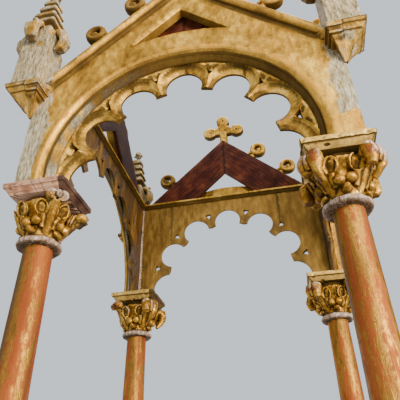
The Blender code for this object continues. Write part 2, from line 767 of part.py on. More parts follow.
def make_wall(index, side):
    turn = bpy.data.objects.new(f"turn_{side}", None)
    PIECES.objects.link(turn)
    turn.rotation_euler = (0.0, 0.0, index * math.pi / 2)
    board_middle = (BOARD_FACE + OUTER_FACE) / 2
    mesh = board_mesh(f"arch_board_{side}", [arch_board_outline(side), piercing_outline()],
                      ARCH_BOARD_THICK)
    board = place(f"arch_board_{side}", mesh, GILDING, wall_matrix(board_middle), turn)
    splay = hide_as_cutter(f"arch_splay_{side}", arch_splay_mesh(), wall_matrix(OUTER_FACE), turn)
    add_boolean(board, splay, "DIFFERENCE")
    rolls = (
        ("arch_roll", arch_roll_path(), OUTER_FACE - ARCH_ROLL_SINK),
        ("rake_roll", rake_roll_path(), OUTER_FACE + ROLL_PROUD),
    )
    for name, path, distance in rolls:
        mesh = tube_mesh(name, [path], 1)
        roll = hide_as_cutter(f"{name}_{side}", mesh, wall_matrix(distance), turn)
        add_boolean(board, roll, "UNION")
    crockets = hide_as_cutter(f"crockets_{side}", crocket_mesh(side), wall_matrix(board_middle), turn)
    add_boolean(board, crockets, "UNION")

    if side in ("front", "back"):
        half_width = BOARD_FACE - GAP
    else:
        half_width = INNER_FACE - GAP
    mesh = rimmed_board_mesh(f"tracery_{side}", tracery_outlines(half_width), TRACERY_THICK,
                             TRACERY_RIM)
    middle = wall_matrix(INNER_FACE + TRACERY_THICK / 2)
    tracery = place(f"tracery_{side}", mesh, GILT_BOARD, middle, turn)
    if side == LOST_CUSP:
        cusp_angle = math.pi - math.pi / (FOIL_COUNT + 1) / 2
        spot = polar(CUSP_RADIUS, cusp_angle, SPRING_LIFT)
        mesh = break_mesh(spot, LOST_CUSP_RADIUS, TRACERY_THICK * 2)
        add_boolean(tracery, hide_as_cutter(f"break_{side}", mesh, middle, turn), "DIFFERENCE")

    for hand, word in ((-1, "left"), (1, "right")):
        mesh = board_mesh("rafter", [rafter_outline(hand)], RAFTER_THICK)
        matrix = wall_matrix(INNER_FACE + RAFTER_THICK / 2)
        place(f"gable_rafter_{side}_{word}", mesh, STAINED_WOOD, matrix, turn)

    inner = INNER_FACE - STRIP_PROJECTION
    reach = INNER_FACE - GAP if side in ("front", "back") else inner - GAP
    outline = [
        (-reach, STRIP_BOTTOM),
        (-reach, STRIP_BOTTOM + STRIP_HEIGHT),
        (reach, STRIP_BOTTOM + STRIP_HEIGHT),
        (reach, STRIP_BOTTOM),
    ]
    thick = STRIP_PROJECTION - GAP
    mesh = board_mesh("cornice_strip", [outline], thick)
    place(f"cornice_strip_{side}", mesh, GILDING, wall_matrix(inner + thick / 2), turn)

    mesh = board_mesh("finial", [finial_outline()], FINIAL_THICK)
    place(f"finial_{side}", mesh, GILDING, wall_matrix(board_middle), turn)


def make_corbel(corner, across, back):
    # Pyramid hung upside down on the outer corner, hollowed to fit over it
    half = CORBEL_SIDE / 2
    shaft = PINNACLE_SHAFT_SIDE / 2
    foot = -CORBEL_HEIGHT
    profile = [
        (0.0, 0.0),
        (half, 0.0),
        (half, -CORBEL_FILLET),
        (half * 0.90, -CORBEL_FILLET - 0.004),
        (half * 0.84, -CORBEL_FILLET - 0.012),
        (shaft * 0.80, -CORBEL_FILLET - 0.018),
        (shaft * 0.42, foot * 0.62),
        (shaft * 0.18, foot),
        (0.0, foot),
    ]
    top = WALL_Z + CORBEL_TOP - GAP
    pyramid = square_turned("pyramid", profile, WORN_GESSO, (0.0, 0.0, 0.0))
    mesh = evaluated_mesh(pyramid, f"corbel_{corner}")
    lean = PINNACLE_OFFSET / CORBEL_HEIGHT  # brings the tip in to the corner's edge
    mesh.transform(Matrix.Shear("XY", 4, (across * lean, back * lean)))
    spot = (across * PINNACLE_AXIS, back * PINNACLE_AXIS, top)
    corbel = place(f"corbel_{corner}", mesh, WORN_GESSO, Matrix.Translation(spot))
    shape = bmesh.new()
    bmesh.ops.create_cube(shape, size=1.0)
    mesh = bpy.data.meshes.new(f"corner_notch_{corner}")
    shape.to_mesh(mesh)
    shape.free()
    side = (OUTER_FACE + GAP) * 2
    size = Matrix.Diagonal((side, side, CORBEL_HEIGHT * 4, 1.0))
    notch = hide_as_cutter(f"corner_notch_{corner}", mesh, Matrix.Translation((0.0, 0.0, top)) @ size)
    add_boolean(corbel, notch, "DIFFERENCE")


def pinnacle_profile():
    # Top down: bud, neck, stepped spire, gabled block, plain shaft
    shaft = PINNACLE_SHAFT_SIDE / 2
    block = PINNACLE_BLOCK_SIDE / 2
    bud_height = BUD_TOP - SPIRE_TOP
    profile = [
        (0.0, BUD_TOP),
        (0.008, BUD_TOP - bud_height * 0.10),
        (0.0145, BUD_TOP - bud_height * 0.45),
        (0.008, SPIRE_TOP + bud_height * 0.10),
    ]
    tier_height = (SPIRE_TOP - PINNACLE_BLOCK_TOP) / SPIRE_TIERS
    top_half = 0.012
    for index in range(SPIRE_TIERS):
        share = (index + 1) / SPIRE_TIERS
        low = SPIRE_TOP - tier_height * (index + 1)
        width = top_half + (SPIRE_SIDE / 2 - top_half) * share**0.7
        neck = top_half * 0.75 + (SPIRE_SIDE / 2 - top_half) * (index / SPIRE_TIERS) ** 0.8 * 0.86
        profile.append((neck, low + tier_height))
        profile.append((width, low + tier_height * 0.28))
        profile.append((width * 0.93, low + tier_height * 0.06))
    profile += [
        (block * 0.62, PINNACLE_BLOCK_TOP),
        (block, PINNACLE_BLOCK_FOOT + 0.030),
        (block, PINNACLE_BLOCK_FOOT + 0.010),
        (shaft, PINNACLE_BLOCK_FOOT),
        (shaft, CORBEL_TOP + GAP),
        (0.0, CORBEL_TOP + GAP),
    ]
    return profile


def gablet_path(angle):
    # Drooping leaf on one face of the pinnacle
    route = (
        (PINNACLE_SHAFT_SIDE / 2 - 0.004, GABLET_TOP - 0.010, GABLET_WIDTH * 0.30),
        (GABLET_REACH - GABLET_WIDTH * 0.55, (GABLET_TOP + GABLET_FOOT) / 2, GABLET_WIDTH * 0.55),
        (PINNACLE_SHAFT_SIDE / 2 + 0.006, GABLET_FOOT + 0.006, GABLET_WIDTH * 0.25),
    )
    path = []
    for reach, height, width in route:
        path.append(((reach * math.cos(angle), reach * math.sin(angle), height), width))
    return path


def make_corners():
    leaves = tube_mesh("gablets", [gablet_path(math.pi / 2 * index) for index in range(4)], 0)
    for corner, (across, back) in CORNERS.items():
        make_corbel(corner, across, back)
        spot = (across * PINNACLE_AXIS, back * PINNACLE_AXIS, WALL_Z)
        pinnacle = square_turned(f"pinnacle_{corner}", pinnacle_profile(), WORN_GESSO, spot)
        carving = hide_as_cutter(f"gablets_{corner}", leaves, Matrix.Translation(spot))
        add_boolean(pinnacle, carving, "UNION")


def main():
    make_pedestal()
    make_columns()
    for index, side in enumerate(SIDES):
        make_wall(index, side)
    make_corners()


main()
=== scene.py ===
# Looks of the gilded altar canopy on its pedestal: worn water gilding over carved wood, four
# arched and gabled walls on four columns, and the moulded altar block below them.
import math
from contextlib import contextmanager

import bmesh
import bpy
import numpy as np
from mathutils import Matrix, Vector
from mathutils.geometry import delaunay_2d_cdt
from mathutils.kdtree import KDTree


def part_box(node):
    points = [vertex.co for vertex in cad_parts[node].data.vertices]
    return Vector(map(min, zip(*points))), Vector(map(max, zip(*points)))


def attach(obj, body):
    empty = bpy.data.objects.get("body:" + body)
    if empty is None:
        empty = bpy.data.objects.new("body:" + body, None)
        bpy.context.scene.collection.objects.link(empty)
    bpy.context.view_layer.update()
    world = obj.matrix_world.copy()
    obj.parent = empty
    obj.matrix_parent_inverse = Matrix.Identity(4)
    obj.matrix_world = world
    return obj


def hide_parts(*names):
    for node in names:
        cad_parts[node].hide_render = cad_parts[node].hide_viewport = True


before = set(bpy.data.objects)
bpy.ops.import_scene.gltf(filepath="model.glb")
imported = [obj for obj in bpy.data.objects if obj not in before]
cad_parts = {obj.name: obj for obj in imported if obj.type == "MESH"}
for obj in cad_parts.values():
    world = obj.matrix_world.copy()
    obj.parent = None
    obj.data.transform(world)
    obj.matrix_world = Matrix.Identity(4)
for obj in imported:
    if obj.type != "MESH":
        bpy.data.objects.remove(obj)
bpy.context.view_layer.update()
sides = ("front", "right", "back", "left")
corners = {"front_left": (-1, -1), "front_right": (1, -1), "back_right": (1, 1), "back_left": (-1, 1)}
gap = 0.0003  # play between touching pieces

# Levels and faces read from the frame
traceryLow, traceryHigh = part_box("tracery_front")
wallFoot = traceryLow[2]
innerFace = -traceryHigh[1]
traceryFace = -traceryLow[1]
boardFace = traceryFace + gap
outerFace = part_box("arch_board_front")[1][0]
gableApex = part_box("gable_rafter_front_left")[1][2] - wallFoot


# Small geometry helpers

def arc(centre, radius, start, end, steps):
    angles = [start + (end - start) * index / steps for index in range(steps + 1)]
    return [(centre[0] + radius * math.cos(a), centre[1] + radius * math.sin(a)) for a in angles]


def polar(radius, angle, rise):
    return (radius * math.cos(angle), rise + radius * math.sin(angle))


def smooth(value, low, high):
    share = np.clip((value - low) / (high - low), 0.0, 1.0)
    return share * share * (3 - 2 * share)


def ripple(points, wavelength, seed):
    # Smooth unevenness from about -1 to 1, the sum of a few slanted waves
    draw = np.random.default_rng(seed)
    total = np.zeros(len(points))
    for _ in range(8):
        direction = draw.normal(size=points.shape[1])
        direction /= np.linalg.norm(direction)
        length = wavelength * draw.uniform(0.55, 1.8)
        total += np.sin(points @ direction * (math.tau / length) + draw.uniform(0, math.tau))
    return total / 4


def densify(loop, spacing):
    points = []
    for first, second in zip(loop, loop[1:] + loop[:1]):
        run = math.dist(first, second)
        pieces = max(1, round(run / spacing))
        for index in range(pieces):
            share = index / pieces
            points.append(
                (first[0] + (second[0] - first[0]) * share, first[1] + (second[1] - first[1]) * share)
            )
    return points


def insideLoops(points, loops):
    # Even and odd crossings of a level line through each point
    inside = np.zeros(len(points), bool)
    across, up = points[:, 0], points[:, 1]
    for loop in loops:
        for (ax, ay), (bx, by) in zip(loop, loop[1:] + loop[:1]):
            if ay == by:
                continue
            crosses = (ay > up) != (by > up)
            inside ^= crosses & (across < (bx - ax) * (up - ay) / (by - ay) + ax)
    return inside


def loopDistance(points, loop):
    # Distance from each point to the nearest stretch of an outline
    nearest = np.full(len(points), 9.0)
    for first, second in zip(loop, loop[1:] + loop[:1]):
        start = np.array(first)
        run = np.array(second) - start
        length = max(run @ run, 1e-12)
        share = np.clip((points - start) @ run / length, 0.0, 1.0)
        gapTo = points - start - share[:, None] * run
        nearest = np.minimum(nearest, np.hypot(gapTo[:, 0], gapTo[:, 1]))
    return nearest


def gridPoints(low, high, spacing):
    # Staggered rows of points over a rectangle
    points = []
    rows = int((high[1] - low[1]) / (spacing * 0.866)) + 1
    for row in range(rows):
        shift = spacing / 2 * (row % 2)
        columns = int((high[0] - low[0]) / spacing) + 1
        up = low[1] + row * spacing * 0.866
        points += [(low[0] + shift + column * spacing, up) for column in range(columns)]
    return np.array(points)


def cutBoard(loops, families, clear):
    # Triangles of a flat board inside its outlines. Each family of points drops those that
    # crowd the outline or an earlier family.
    loops = [list(loop) for loop in loops]
    kept = [point for loop in loops for point in loop]
    edges = []
    start = 0
    for loop in loops:
        count = len(loop)
        edges += [(start + index, start + (index + 1) % count) for index in range(count)]
        start += count
    for family, distance in zip(families, clear):
        tree = KDTree(len(kept))
        for index, point in enumerate(kept):
            tree.insert((*point, 0.0), index)
        tree.balance()
        family = np.array(family)
        family = family[insideLoops(family, loops)]
        kept += [tuple(p) for p in family if tree.find((p[0], p[1], 0.0))[2] > distance]
    flat = delaunay_2d_cdt([Vector(p) for p in kept], edges, [], 0, 1e-7)
    points = np.array([tuple(p) for p in flat[0]])
    faces = np.array(flat[2])
    faces = faces[insideLoops(points[faces].mean(axis=1), loops)]
    return points, faces


def boardMesh(name, loops, families, clear, front, back, place):
    # Closed board: front and back give each face's distance outwards at (across, up)
    points, faces = cutBoard(loops, families, clear)
    count = len(points)
    used = {}
    for face in faces:
        for a, b in ((face[0], face[1]), (face[1], face[2]), (face[2], face[0])):
            if (b, a) in used:
                used.pop((b, a))
            else:
                used[(a, b)] = True
    rim = np.zeros(count, bool)
    for a, b in used:
        rim[a] = rim[b] = True
    near = front(points, rim)
    far = back(points, rim)
    shape = np.zeros((count * 2, 3))
    shape[:count] = np.column_stack((points, near))
    shape[count:] = np.column_stack((points, far))
    polygons = [tuple(face) for face in faces]
    polygons += [(face[0] + count, face[2] + count, face[1] + count) for face in faces]
    polygons += [(a, a + count, b + count, b) for a, b in used]
    return plainMesh(name, shape, polygons, place)


@contextmanager
def editing(mesh):
    # The mesh opened for changes, which are written back at the end
    shape = bmesh.new()
    shape.from_mesh(mesh)
    yield shape
    shape.to_mesh(mesh)
    shape.free()


def plainMesh(name, points, polygons, place=None):
    mesh = bpy.data.meshes.new(name)
    mesh.from_pydata([tuple(p) for p in points], [], polygons)
    if place is not None:
        mesh.transform(place)
    with editing(mesh) as shape:
        loose = [vert for vert in shape.verts if not vert.link_faces]
        bmesh.ops.delete(shape, geom=loose, context="VERTS")
    return mesh


def fixNormals(mesh):
    with editing(mesh) as shape:
        bmesh.ops.recalc_face_normals(shape, faces=shape.faces)


def wallPlace(index):
    # Local (across, up, outwards) of one wall into the world
    stand = Matrix(((1, 0, 0, 0), (0, 0, -1, 0), (0, 1, 0, wallFoot), (0, 0, 0, 1)))
    return Matrix.Rotation(index * math.pi / 2, 4, "Z") @ stand


def ringLoft(rings, capped=True):
    # Skin over rings with as many points each, from the bottom up
    count = len(rings[0])
    points = np.vstack(rings)
    polygons = []
    for level in range(len(rings) - 1):
        low, high = level * count, (level + 1) * count
        for index in range(count):
            after = (index + 1) % count
            polygons.append((low + index, low + after, high + after, high + index))
    if capped:
        bottom, top = points[:count].mean(axis=0), points[-count:].mean(axis=0)
        points = np.vstack((points, bottom, top))
        last = len(points) - 2
        high = (len(rings) - 1) * count
        for index in range(count):
            after = (index + 1) % count
            polygons.append((last, after, index))
            polygons.append((last + 1, high + index, high + after))
    return points, polygons


def refineProfile(profile, spacing):
    points = [profile[0]]
    for first, second in zip(profile, profile[1:]):
        pieces = max(1, round(math.dist(first, second) / spacing))
        for index in range(1, pieces + 1):
            share = index / pieces
            points.append(tuple(a + (b - a) * share for a, b in zip(first, second)))
    return points


def squareRing(half, height, perSide, ease):
    # Square with slightly eased corners, from one corner round
    points = []
    half = max(half, 0.00001)
    ease = min(ease, half / 4)
    easeRun = 2 * ease / half
    for turn in range(4):
        sine, cosine = math.sin(turn * math.pi / 2), math.cos(turn * math.pi / 2)
        for index in range(perSide):
            share = (index + 0.5) / perSide * 2 - 1
            # points crowd towards the corners, where the wear is
            share = math.copysign(1 - (1 - abs(share)) ** 1.25, share)
            out = half - ease * max(0.0, (abs(share) - (1 - easeRun)) / easeRun) ** 2
            along = share * half
            points.append((out * sine + along * cosine, -out * cosine + along * sine, height))
    return np.array(points)


def squareLoft(profile, perSide=24, ease=0.0015, spacing=0.006):
    # A profile of (half side, height) from the bottom up, run round a square
    return ringLoft([squareRing(half, z, perSide, ease) for half, z in refineProfile(profile, spacing)])


def roundLoft(profile, around=48, spacing=0.006):
    # A profile of (radius, height) turned round the upright axis
    angles = np.arange(around) * math.tau / around
    rings = []
    for radius, height in refineProfile(profile, spacing):
        level = np.full(around, height)
        rings.append(np.column_stack((radius * np.cos(angles), radius * np.sin(angles), level)))
    return ringLoft(rings)


def wobble(points, amount, wavelength, seed):
    # Hand-carved unevenness pushed into a shape
    points = np.array(points)
    for axis in range(3):
        points[:, axis] += ripple(points, wavelength, seed + axis) * amount
    return points


def joined(name, meshes):
    shape = bmesh.new()
    for mesh in meshes:
        shape.from_mesh(mesh)
    whole = bpy.data.meshes.new(name)
    shape.to_mesh(whole)
    shape.free()
    return whole


def bakedMesh(thing, name):
    # Finished mesh of an object with its modifiers; the object is removed
    bpy.context.view_layer.update()
    evaluated = thing.evaluated_get(bpy.context.evaluated_depsgraph_get())
    mesh = bpy.data.meshes.new_from_object(evaluated)
    mesh.transform(thing.matrix_world)
    mesh.name = name
    bpy.data.objects.remove(thing, do_unlink=True)
    return mesh


def newObject(name, mesh):
    thing = bpy.data.objects.new(name, mesh)
    bpy.context.scene.collection.objects.link(thing)
    return thing


def carved(name, mesh, voxel, rounds):
    # Melts overlapping forms into one carved block and takes off the chisel marks
    thing = newObject(name, mesh)
    remesh = thing.modifiers.new("block", "REMESH")
    remesh.mode = "VOXEL"
    remesh.voxel_size = voxel
    easing = thing.modifiers.new("easing", "SMOOTH")
    easing.factor = 0.5
    easing.iterations = rounds
    return bakedMesh(thing, name)


def cutAway(mesh, cutter, name):
    thing = newObject(name, mesh)
    tool = newObject("cutter", cutter)
    cut = thing.modifiers.new("cut", "BOOLEAN")
    cut.operation = "DIFFERENCE"
    cut.solver = "EXACT"
    cut.object = tool
    result = bakedMesh(thing, name)
    bpy.data.objects.remove(tool, do_unlink=True)
    return result


def keepBeyond(mesh, spot, direction, name):
    # The part of a solid that lies beyond a plane, closed again
    kept = mesh.copy()
    kept.name = name
    with editing(kept) as shape:
        everything = shape.verts[:] + shape.edges[:] + shape.faces[:]
        bmesh.ops.bisect_plane(
            shape, geom=everything, plane_co=spot, plane_no=direction, clear_inner=True, dist=1e-6
        )
        openEdges = [edge for edge in shape.edges if edge.is_boundary]
        bmesh.ops.holes_fill(shape, edges=openEdges, sides=0)
        bmesh.ops.triangulate(shape, faces=[face for face in shape.faces if len(face.verts) > 4])
        bmesh.ops.recalc_face_normals(shape, faces=shape.faces)
    return kept


wearSizes = {
    "rounds": 3,  # how far the bend of the surface is evened out
    "gain": 5.0,
    "fineHollow": 0.3,
    "fineRidge": 0.5,
}


def setLayer(mesh, name, value):
    layer = mesh.attributes.get(name) or mesh.attributes.new(name, "FLOAT", "POINT")
    layer.data.foreach_set("value", np.clip(value, 0.0, 1.0).astype(np.float32))


def setWear(mesh):
    # Stores how hollow and how sharp the carving is at each point, for dirt with painted shade in the hollows and for
    # rubbed edges
    w = wearSizes
    count = len(mesh.vertices)
    normals = np.empty(count * 3)
    edges = np.empty(len(mesh.edges) * 2, int)
    mesh.vertices.foreach_get("normal", normals)
    mesh.edges.foreach_get("vertices", edges)
    points, normals, edges = meshPoints(mesh), normals.reshape(-1, 3), edges.reshape(-1, 2)
    first, second = edges[:, 0], edges[:, 1]
    run = points[second] - points[first]
    length = np.maximum(np.linalg.norm(run, axis=1), 1e-7)
    bend = np.zeros(count)
    links = np.maximum(np.bincount(edges.ravel(), minlength=count), 1)
    np.add.at(bend, first, np.einsum("ij,ij->i", run, normals[first]) / length)
    np.add.at(bend, second, -np.einsum("ij,ij->i", run, normals[second]) / length)
    bend /= links
    fine = bend.copy()
    for _ in range(w["rounds"]):
        total = np.zeros(count)
        np.add.at(total, first, bend[second])
        np.add.at(total, second, bend[first])
        bend = (bend + total / links) / 2
    setLayer(mesh, "hollow", (bend + w["fineHollow"] * fine) * w["gain"])
    setLayer(mesh, "ridge", -(bend + w["fineRidge"] * fine) * w["gain"])


def faceNormals(mesh):
    normals = np.empty(len(mesh.polygons) * 3)
    mesh.polygons.foreach_get("normal", normals)
    return normals.reshape(-1, 3)


def setUnder(mesh):
    # Marks faces that look down for painted shade, stronger the more they face the floor
    value = np.clip(-faceNormals(mesh)[:, 2] - 0.25, 0.0, 1.0).astype(np.float32)
    layer = mesh.attributes.get("under")
    if layer is None:
        layer = mesh.attributes.new("under", "FLOAT", "FACE")
    else:
        before = np.empty(len(value), dtype=np.float32)
        layer.data.foreach_get("value", before)
        value = np.maximum(value, before)
    layer.data.foreach_set("value", value)


def setSoffit(mesh, outwards, amount):
    # Marks the cut edge of a board for painted shade, like the faces that look down
    edge = np.abs(faceNormals(mesh) @ np.array(outwards)) < 0.35
    layer = mesh.attributes.new("under", "FLOAT", "FACE")
    layer.data.foreach_set("value", (edge * amount).astype(np.float32))


def setGrain(mesh, value):
    # Coordinates in metres with the first one along the wood
    layer = mesh.attributes.new("grain", "FLOAT_VECTOR", "POINT")
    layer.data.foreach_set("vector", np.asarray(value, dtype=np.float32).ravel())


def meshPoints(mesh):
    points = np.empty(len(mesh.vertices) * 3)
    mesh.vertices.foreach_get("co", points)
    return points.reshape(-1, 3)


def addPiece(name, mesh, material, nodes, sharp=35.0, wear=True):
    # Hands one finished piece to the frame in place of its CAD nodes
    mesh.materials.clear()
    mesh.materials.append(material)
    mesh.shade_smooth()
    mesh.set_sharp_from_angle(angle=math.radians(sharp))
    if wear:
        setWear(mesh)
    setUnder(mesh)
    if not mesh.polygons:
        raise ValueError(f"{name} is empty")
    piece = newObject(name, mesh)
    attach(piece, "root")
    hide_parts(*nodes)
    return piece


# Materials

def linear(hexText):
    values = [int(hexText[i : i + 2], 16) / 255 for i in (1, 3, 5)]
    return [v / 12.92 if v <= 0.04045 else ((v + 0.055) / 1.055) ** 2.4 for v in values] + [1.0]


def addNode(tree, kind, settings=None, links=None, out=0):
    # One node with its settings and its inputs, as values or as sockets; gives an output
    node = tree.nodes.new(kind)
    for key, value in (settings or {}).items():
        setattr(node, key, value)
    for key, value in (links or {}).items():
        if isinstance(value, bpy.types.NodeSocket):
            tree.links.new(value, node.inputs[key])
        else:
            node.inputs[key].default_value = value
    return node if out is None or not node.outputs else node.outputs[out]


def newSurface(name):
    material = bpy.data.materials.new(name)
    material.use_nodes = True
    tree = material.node_tree
    tree.nodes.clear()
    shader = tree.nodes.new("ShaderNodeBsdfPrincipled")
    output = tree.nodes.new("ShaderNodeOutputMaterial")
    tree.links.new(shader.outputs["BSDF"], output.inputs["Surface"])
    return material, tree, shader


def setTones(node, lightPlace, tones):
    # Dark, middle and light tone of a colour ramp
    ramp = node.color_ramp
    ramp.elements.new(0.5)
    for element, place, tone in zip(ramp.elements, (0.36, 0.5, lightPlace), tones):
        element.position, element.color = place, linear(tone)


def addUp(tree, total, parts):
    # Weighted layers laid over a first value
    for value, weight in parts:
        links = {0: value, 1: weight, 2: total}
        total = addNode(tree, "ShaderNodeMath", {"operation": "MULTIPLY_ADD"}, links)
    return total


def agedGilding(name, look):
    # Water gilding: burnished leaf on red bole on white gesso on wood. It gives a warm metal
    # that is mottled, rubbed to red on the arrises, lost to gesso in islands, brown in hollows,
    # and darkened with painted shade in the hollows and on faces that look down.
    material, tree, shader = newSurface(name)
    soft, rgba, most = {"interpolation_type": "SMOOTHSTEP"}, {"data_type": "RGBA"}, {"operation": "MAXIMUM"}
    place = addNode(tree, "ShaderNodeTexCoord", out=3)
    stretched = addNode(tree, "ShaderNodeMapping", None, {"Vector": place, "Scale": look["stretch"]})
    cloud = {"Vector": stretched, "Detail": 6.0, "Roughness": 0.60}
    broad = addNode(tree, "ShaderNodeTexNoise", None, {**cloud, "Scale": 1 / look["broadPatch"]})
    patch = addNode(tree, "ShaderNodeTexNoise", None, {**cloud, "Scale": 1 / look["patch"], "Detail": 9.0})
    speck = {"Vector": place, "Scale": 1 / look["speck"], "Detail": 5.0}
    speck = addNode(tree, "ShaderNodeTexNoise", None, speck)
    layer = {}
    for key in ("hollow", "ridge", "bare", "grimeAndShade", "under", "worn"):
        layer[key] = addNode(tree, "ShaderNodeAttribute", {"attribute_name": key}, out=2)

    tone = addNode(tree, "ShaderNodeMix", {"data_type": "FLOAT"}, {0: 0.5, 2: broad, 3: patch})
    gold = addNode(tree, "ShaderNodeValToRGB", None, {0: tone}, out=None)
    setTones(gold, 0.64, (look["deepGold"], look["gold"], look["brightGold"]))

    # where the leaf is rubbed through to the bole
    rubbed = addUp(tree, patch, (
        (layer["ridge"], look["ridgeRub"]), (broad, look["broadRub"]),
        (layer["worn"], look["wornRub"]), (speck, look["speckRub"]),
    ))
    low = look["rubLimit"] - look["bole"]
    reach = {"Value": rubbed, "From Min": low, "From Max": low + look["boleSoft"], "To Max": look["boleTop"]}
    rubbed = addNode(tree, "ShaderNodeMapRange", soft, reach)
    boles = {0: speck, 6: linear(look["darkBole"]), 7: linear(look["lightBole"])}
    boleTone = addNode(tree, "ShaderNodeMix", rgba, boles, out=2)

    # where gesso or wood shows in islands
    turned = addNode(tree, "ShaderNodeMapping", None, {"Vector": stretched, "Location": (3.1, 1.7, 5.3)})
    island = {"Vector": turned, "Scale": 1 / look["island"], "Detail": 10.0, "Roughness": 0.70}
    island = addNode(tree, "ShaderNodeTexNoise", None, island)
    island = addUp(tree, island, ((layer["bare"], look["bareGesso"]), (layer["ridge"], look["ridgeGesso"])))
    edge = look["gessoLimit"] - look["gessoAmount"]
    reach = {
        "Value": island, "From Min": edge, "From Max": edge + look["gessoSoft"], "To Max": look["gessoTop"],
    }
    lost = addNode(tree, "ShaderNodeMapRange", soft, reach)
    grain = addNode(tree, "ShaderNodeMapping", None, {"Vector": place, "Scale": look["grainStretch"]})
    grain = {"Vector": grain, "Scale": 1 / look["grain"], "Detail": 8.0, "Roughness": 0.7}
    grain = addNode(tree, "ShaderNodeTexNoise", None, grain)
    gesso = addNode(tree, "ShaderNodeValToRGB", None, {0: grain}, out=None)
    setTones(gesso, 0.66, (look["darkGesso"], look["gesso"], look["paleGesso"]))
    colour = addNode(tree, "ShaderNodeMix", rgba, {0: rubbed, 6: gold.outputs[0], 7: boleTone}, out=2)
    colour = addNode(tree, "ShaderNodeMix", rgba, {0: lost, 6: colour, 7: gesso.outputs[0]}, out=2)

    # brown dirt and painted shade lie in the hollows, on faces that look down and in the marked grime and shade; dirt
    # alone in fine specks and patches
    soilAndShade = addUp(tree, layer["grimeAndShade"], (
        (layer["hollow"], look["hollowDirtAndShade"]), (layer["under"], look["undersideShade"]),
        (speck, look["speckSoil"]), (patch, look["patchSoil"]),
    ))
    reach = {"Value": soilAndShade, "From Min": 0.38, "From Max": 1.10, "To Max": look["dirtAndShade"]}
    soilAndShade = addNode(tree, "ShaderNodeMapRange", soft, reach)
    colour = addNode(tree, "ShaderNodeMix", rgba, {0: soilAndShade, 6: colour, 7: linear(look["soilAndShade"])}, out=2)
    tree.links.new(colour, shader.inputs["Base Color"])

    dull = addNode(tree, "ShaderNodeMath", {"operation": "MULTIPLY"}, {0: rubbed, 1: 0.70})
    dull = addNode(tree, "ShaderNodeMath", most, {0: dull, 1: lost})
    dull = addNode(tree, "ShaderNodeMath", most, {0: dull, 1: soilAndShade})
    metal = {"Value": dull, "To Min": look["metal"], "To Max": 0.0}
    tree.links.new(addNode(tree, "ShaderNodeMapRange", None, metal), shader.inputs["Metallic"])
    rough = {"Value": dull, "To Min": look["roughness"], "To Max": 0.74}
    rough = addNode(tree, "ShaderNodeMapRange", None, rough)
    uneven = addNode(tree, "ShaderNodeMath", {"operation": "SUBTRACT"}, {0: patch, 1: 0.5})
    tree.links.new(addUp(tree, rough, ((uneven, 0.35),)), shader.inputs["Roughness"])
    shader.inputs["Specular IOR Level"].default_value = 0.35
    # old leaf stays warm at a grazing angle
    shader.inputs["Specular Tint"].default_value = linear(look["edgeTint"])

    # leaf laps, brush marks and crackle as a shallow bump
    crackle = {"Vector": stretched, "Scale": 1 / look["crackle"]}
    crackle = addNode(tree, "ShaderNodeTexVoronoi", {"feature": "DISTANCE_TO_EDGE"}, crackle)
    crackle = {"Value": crackle, "From Max": 0.05, "To Min": -0.35, "To Max": 0.0}
    crackle = addNode(tree, "ShaderNodeMapRange", None, crackle)
    height = addUp(tree, patch, ((lost, -0.5), (rubbed, -0.20), (speck, 0.5), (grain, 0.5), (crackle, 1.0)))
    bump = addNode(tree, "ShaderNodeBump", None, {"Strength": 0.6, "Distance": look["bump"], "Height": height})
    tree.links.new(bump, shader.inputs["Normal"])
    return material


baseLook = {
    # pattern sizes in metres
    "stretch": (1.0, 1.0, 1.0),
    "grainStretch": (1.0, 1.0, 0.22),
    "broadPatch": 0.070,
    "patch": 0.014,
    "speck": 0.0030,
    "island": 0.020,
    "crackle": 0.009,
    "grain": 0.0045,
    "bump": 0.0012,
    # colours
    "deepGold": "#80581F",
    "gold": "#CA9336",
    "brightGold": "#FACB62",
    "darkBole": "#6E2A16",
    "lightBole": "#B4562E",
    "paleGesso": "#BBB49E",
    "gesso": "#8E866F",
    "darkGesso": "#544C3A",
    "soilAndShade": "#2E200E",
    "edgeTint": "#D8B06A",
    # leaf rubbed to bole
    "rubLimit": 1.12,
    "bole": 0.06,
    "boleSoft": 0.16,
    "boleTop": 0.9,
    "ridgeRub": 0.14,
    "broadRub": 0.60,
    "wornRub": 0.45,
    "speckRub": 0.20,
    # leaf lost to gesso
    "gessoLimit": 0.80,
    "gessoAmount": 0.06,
    "gessoSoft": 0.09,
    "gessoTop": 0.95,
    "bareGesso": 0.50,
    "ridgeGesso": 0.12,
    # dirt and painted shade
    "hollowDirtAndShade": 1.1,
    # painted shade on faces that look down and on marked cut edges
    "undersideShade": 0.85,
    "speckSoil": 0.42,
    "patchSoil": 0.30,
    "dirtAndShade": 0.92,
    # shine
    "metal": 0.82,
    "roughness": 0.36,
}
carvingGilding = agedGilding("water_gilding_on_carving", {
    **baseLook, "patch": 0.010, "speck": 0.0026, "island": 0.014,
    "deepGold": "#644214", "gold": "#A8782A", "brightGold": "#EFC25C", "darkBole": "#4E1C0C", "lightBole": "#90401E",
    "gessoAmount": 0.08, "ridgeGesso": 0.16, "paleGesso": "#E0D6C8", "gesso": "#AC9080", "darkGesso": "#5E4A3E",
    "hollowDirtAndShade": 1.9, "undersideShade": 0.45, "dirtAndShade": 0.95, "roughness": 0.33,
})
boardGilding = agedGilding("water_gilding_on_boards", {
    **baseLook, "stretch": (1.0, 1.0, 0.55), "broadPatch": 0.100,
    "deepGold": "#7E5A26", "gold": "#BE8E3A", "brightGold": "#F2C358", "darkBole": "#8A5614", "lightBole": "#D69226",
    "bole": -0.02, "boleSoft": 0.30, "gessoAmount": 0.05, "gessoSoft": 0.20, "roughness": 0.42,
})
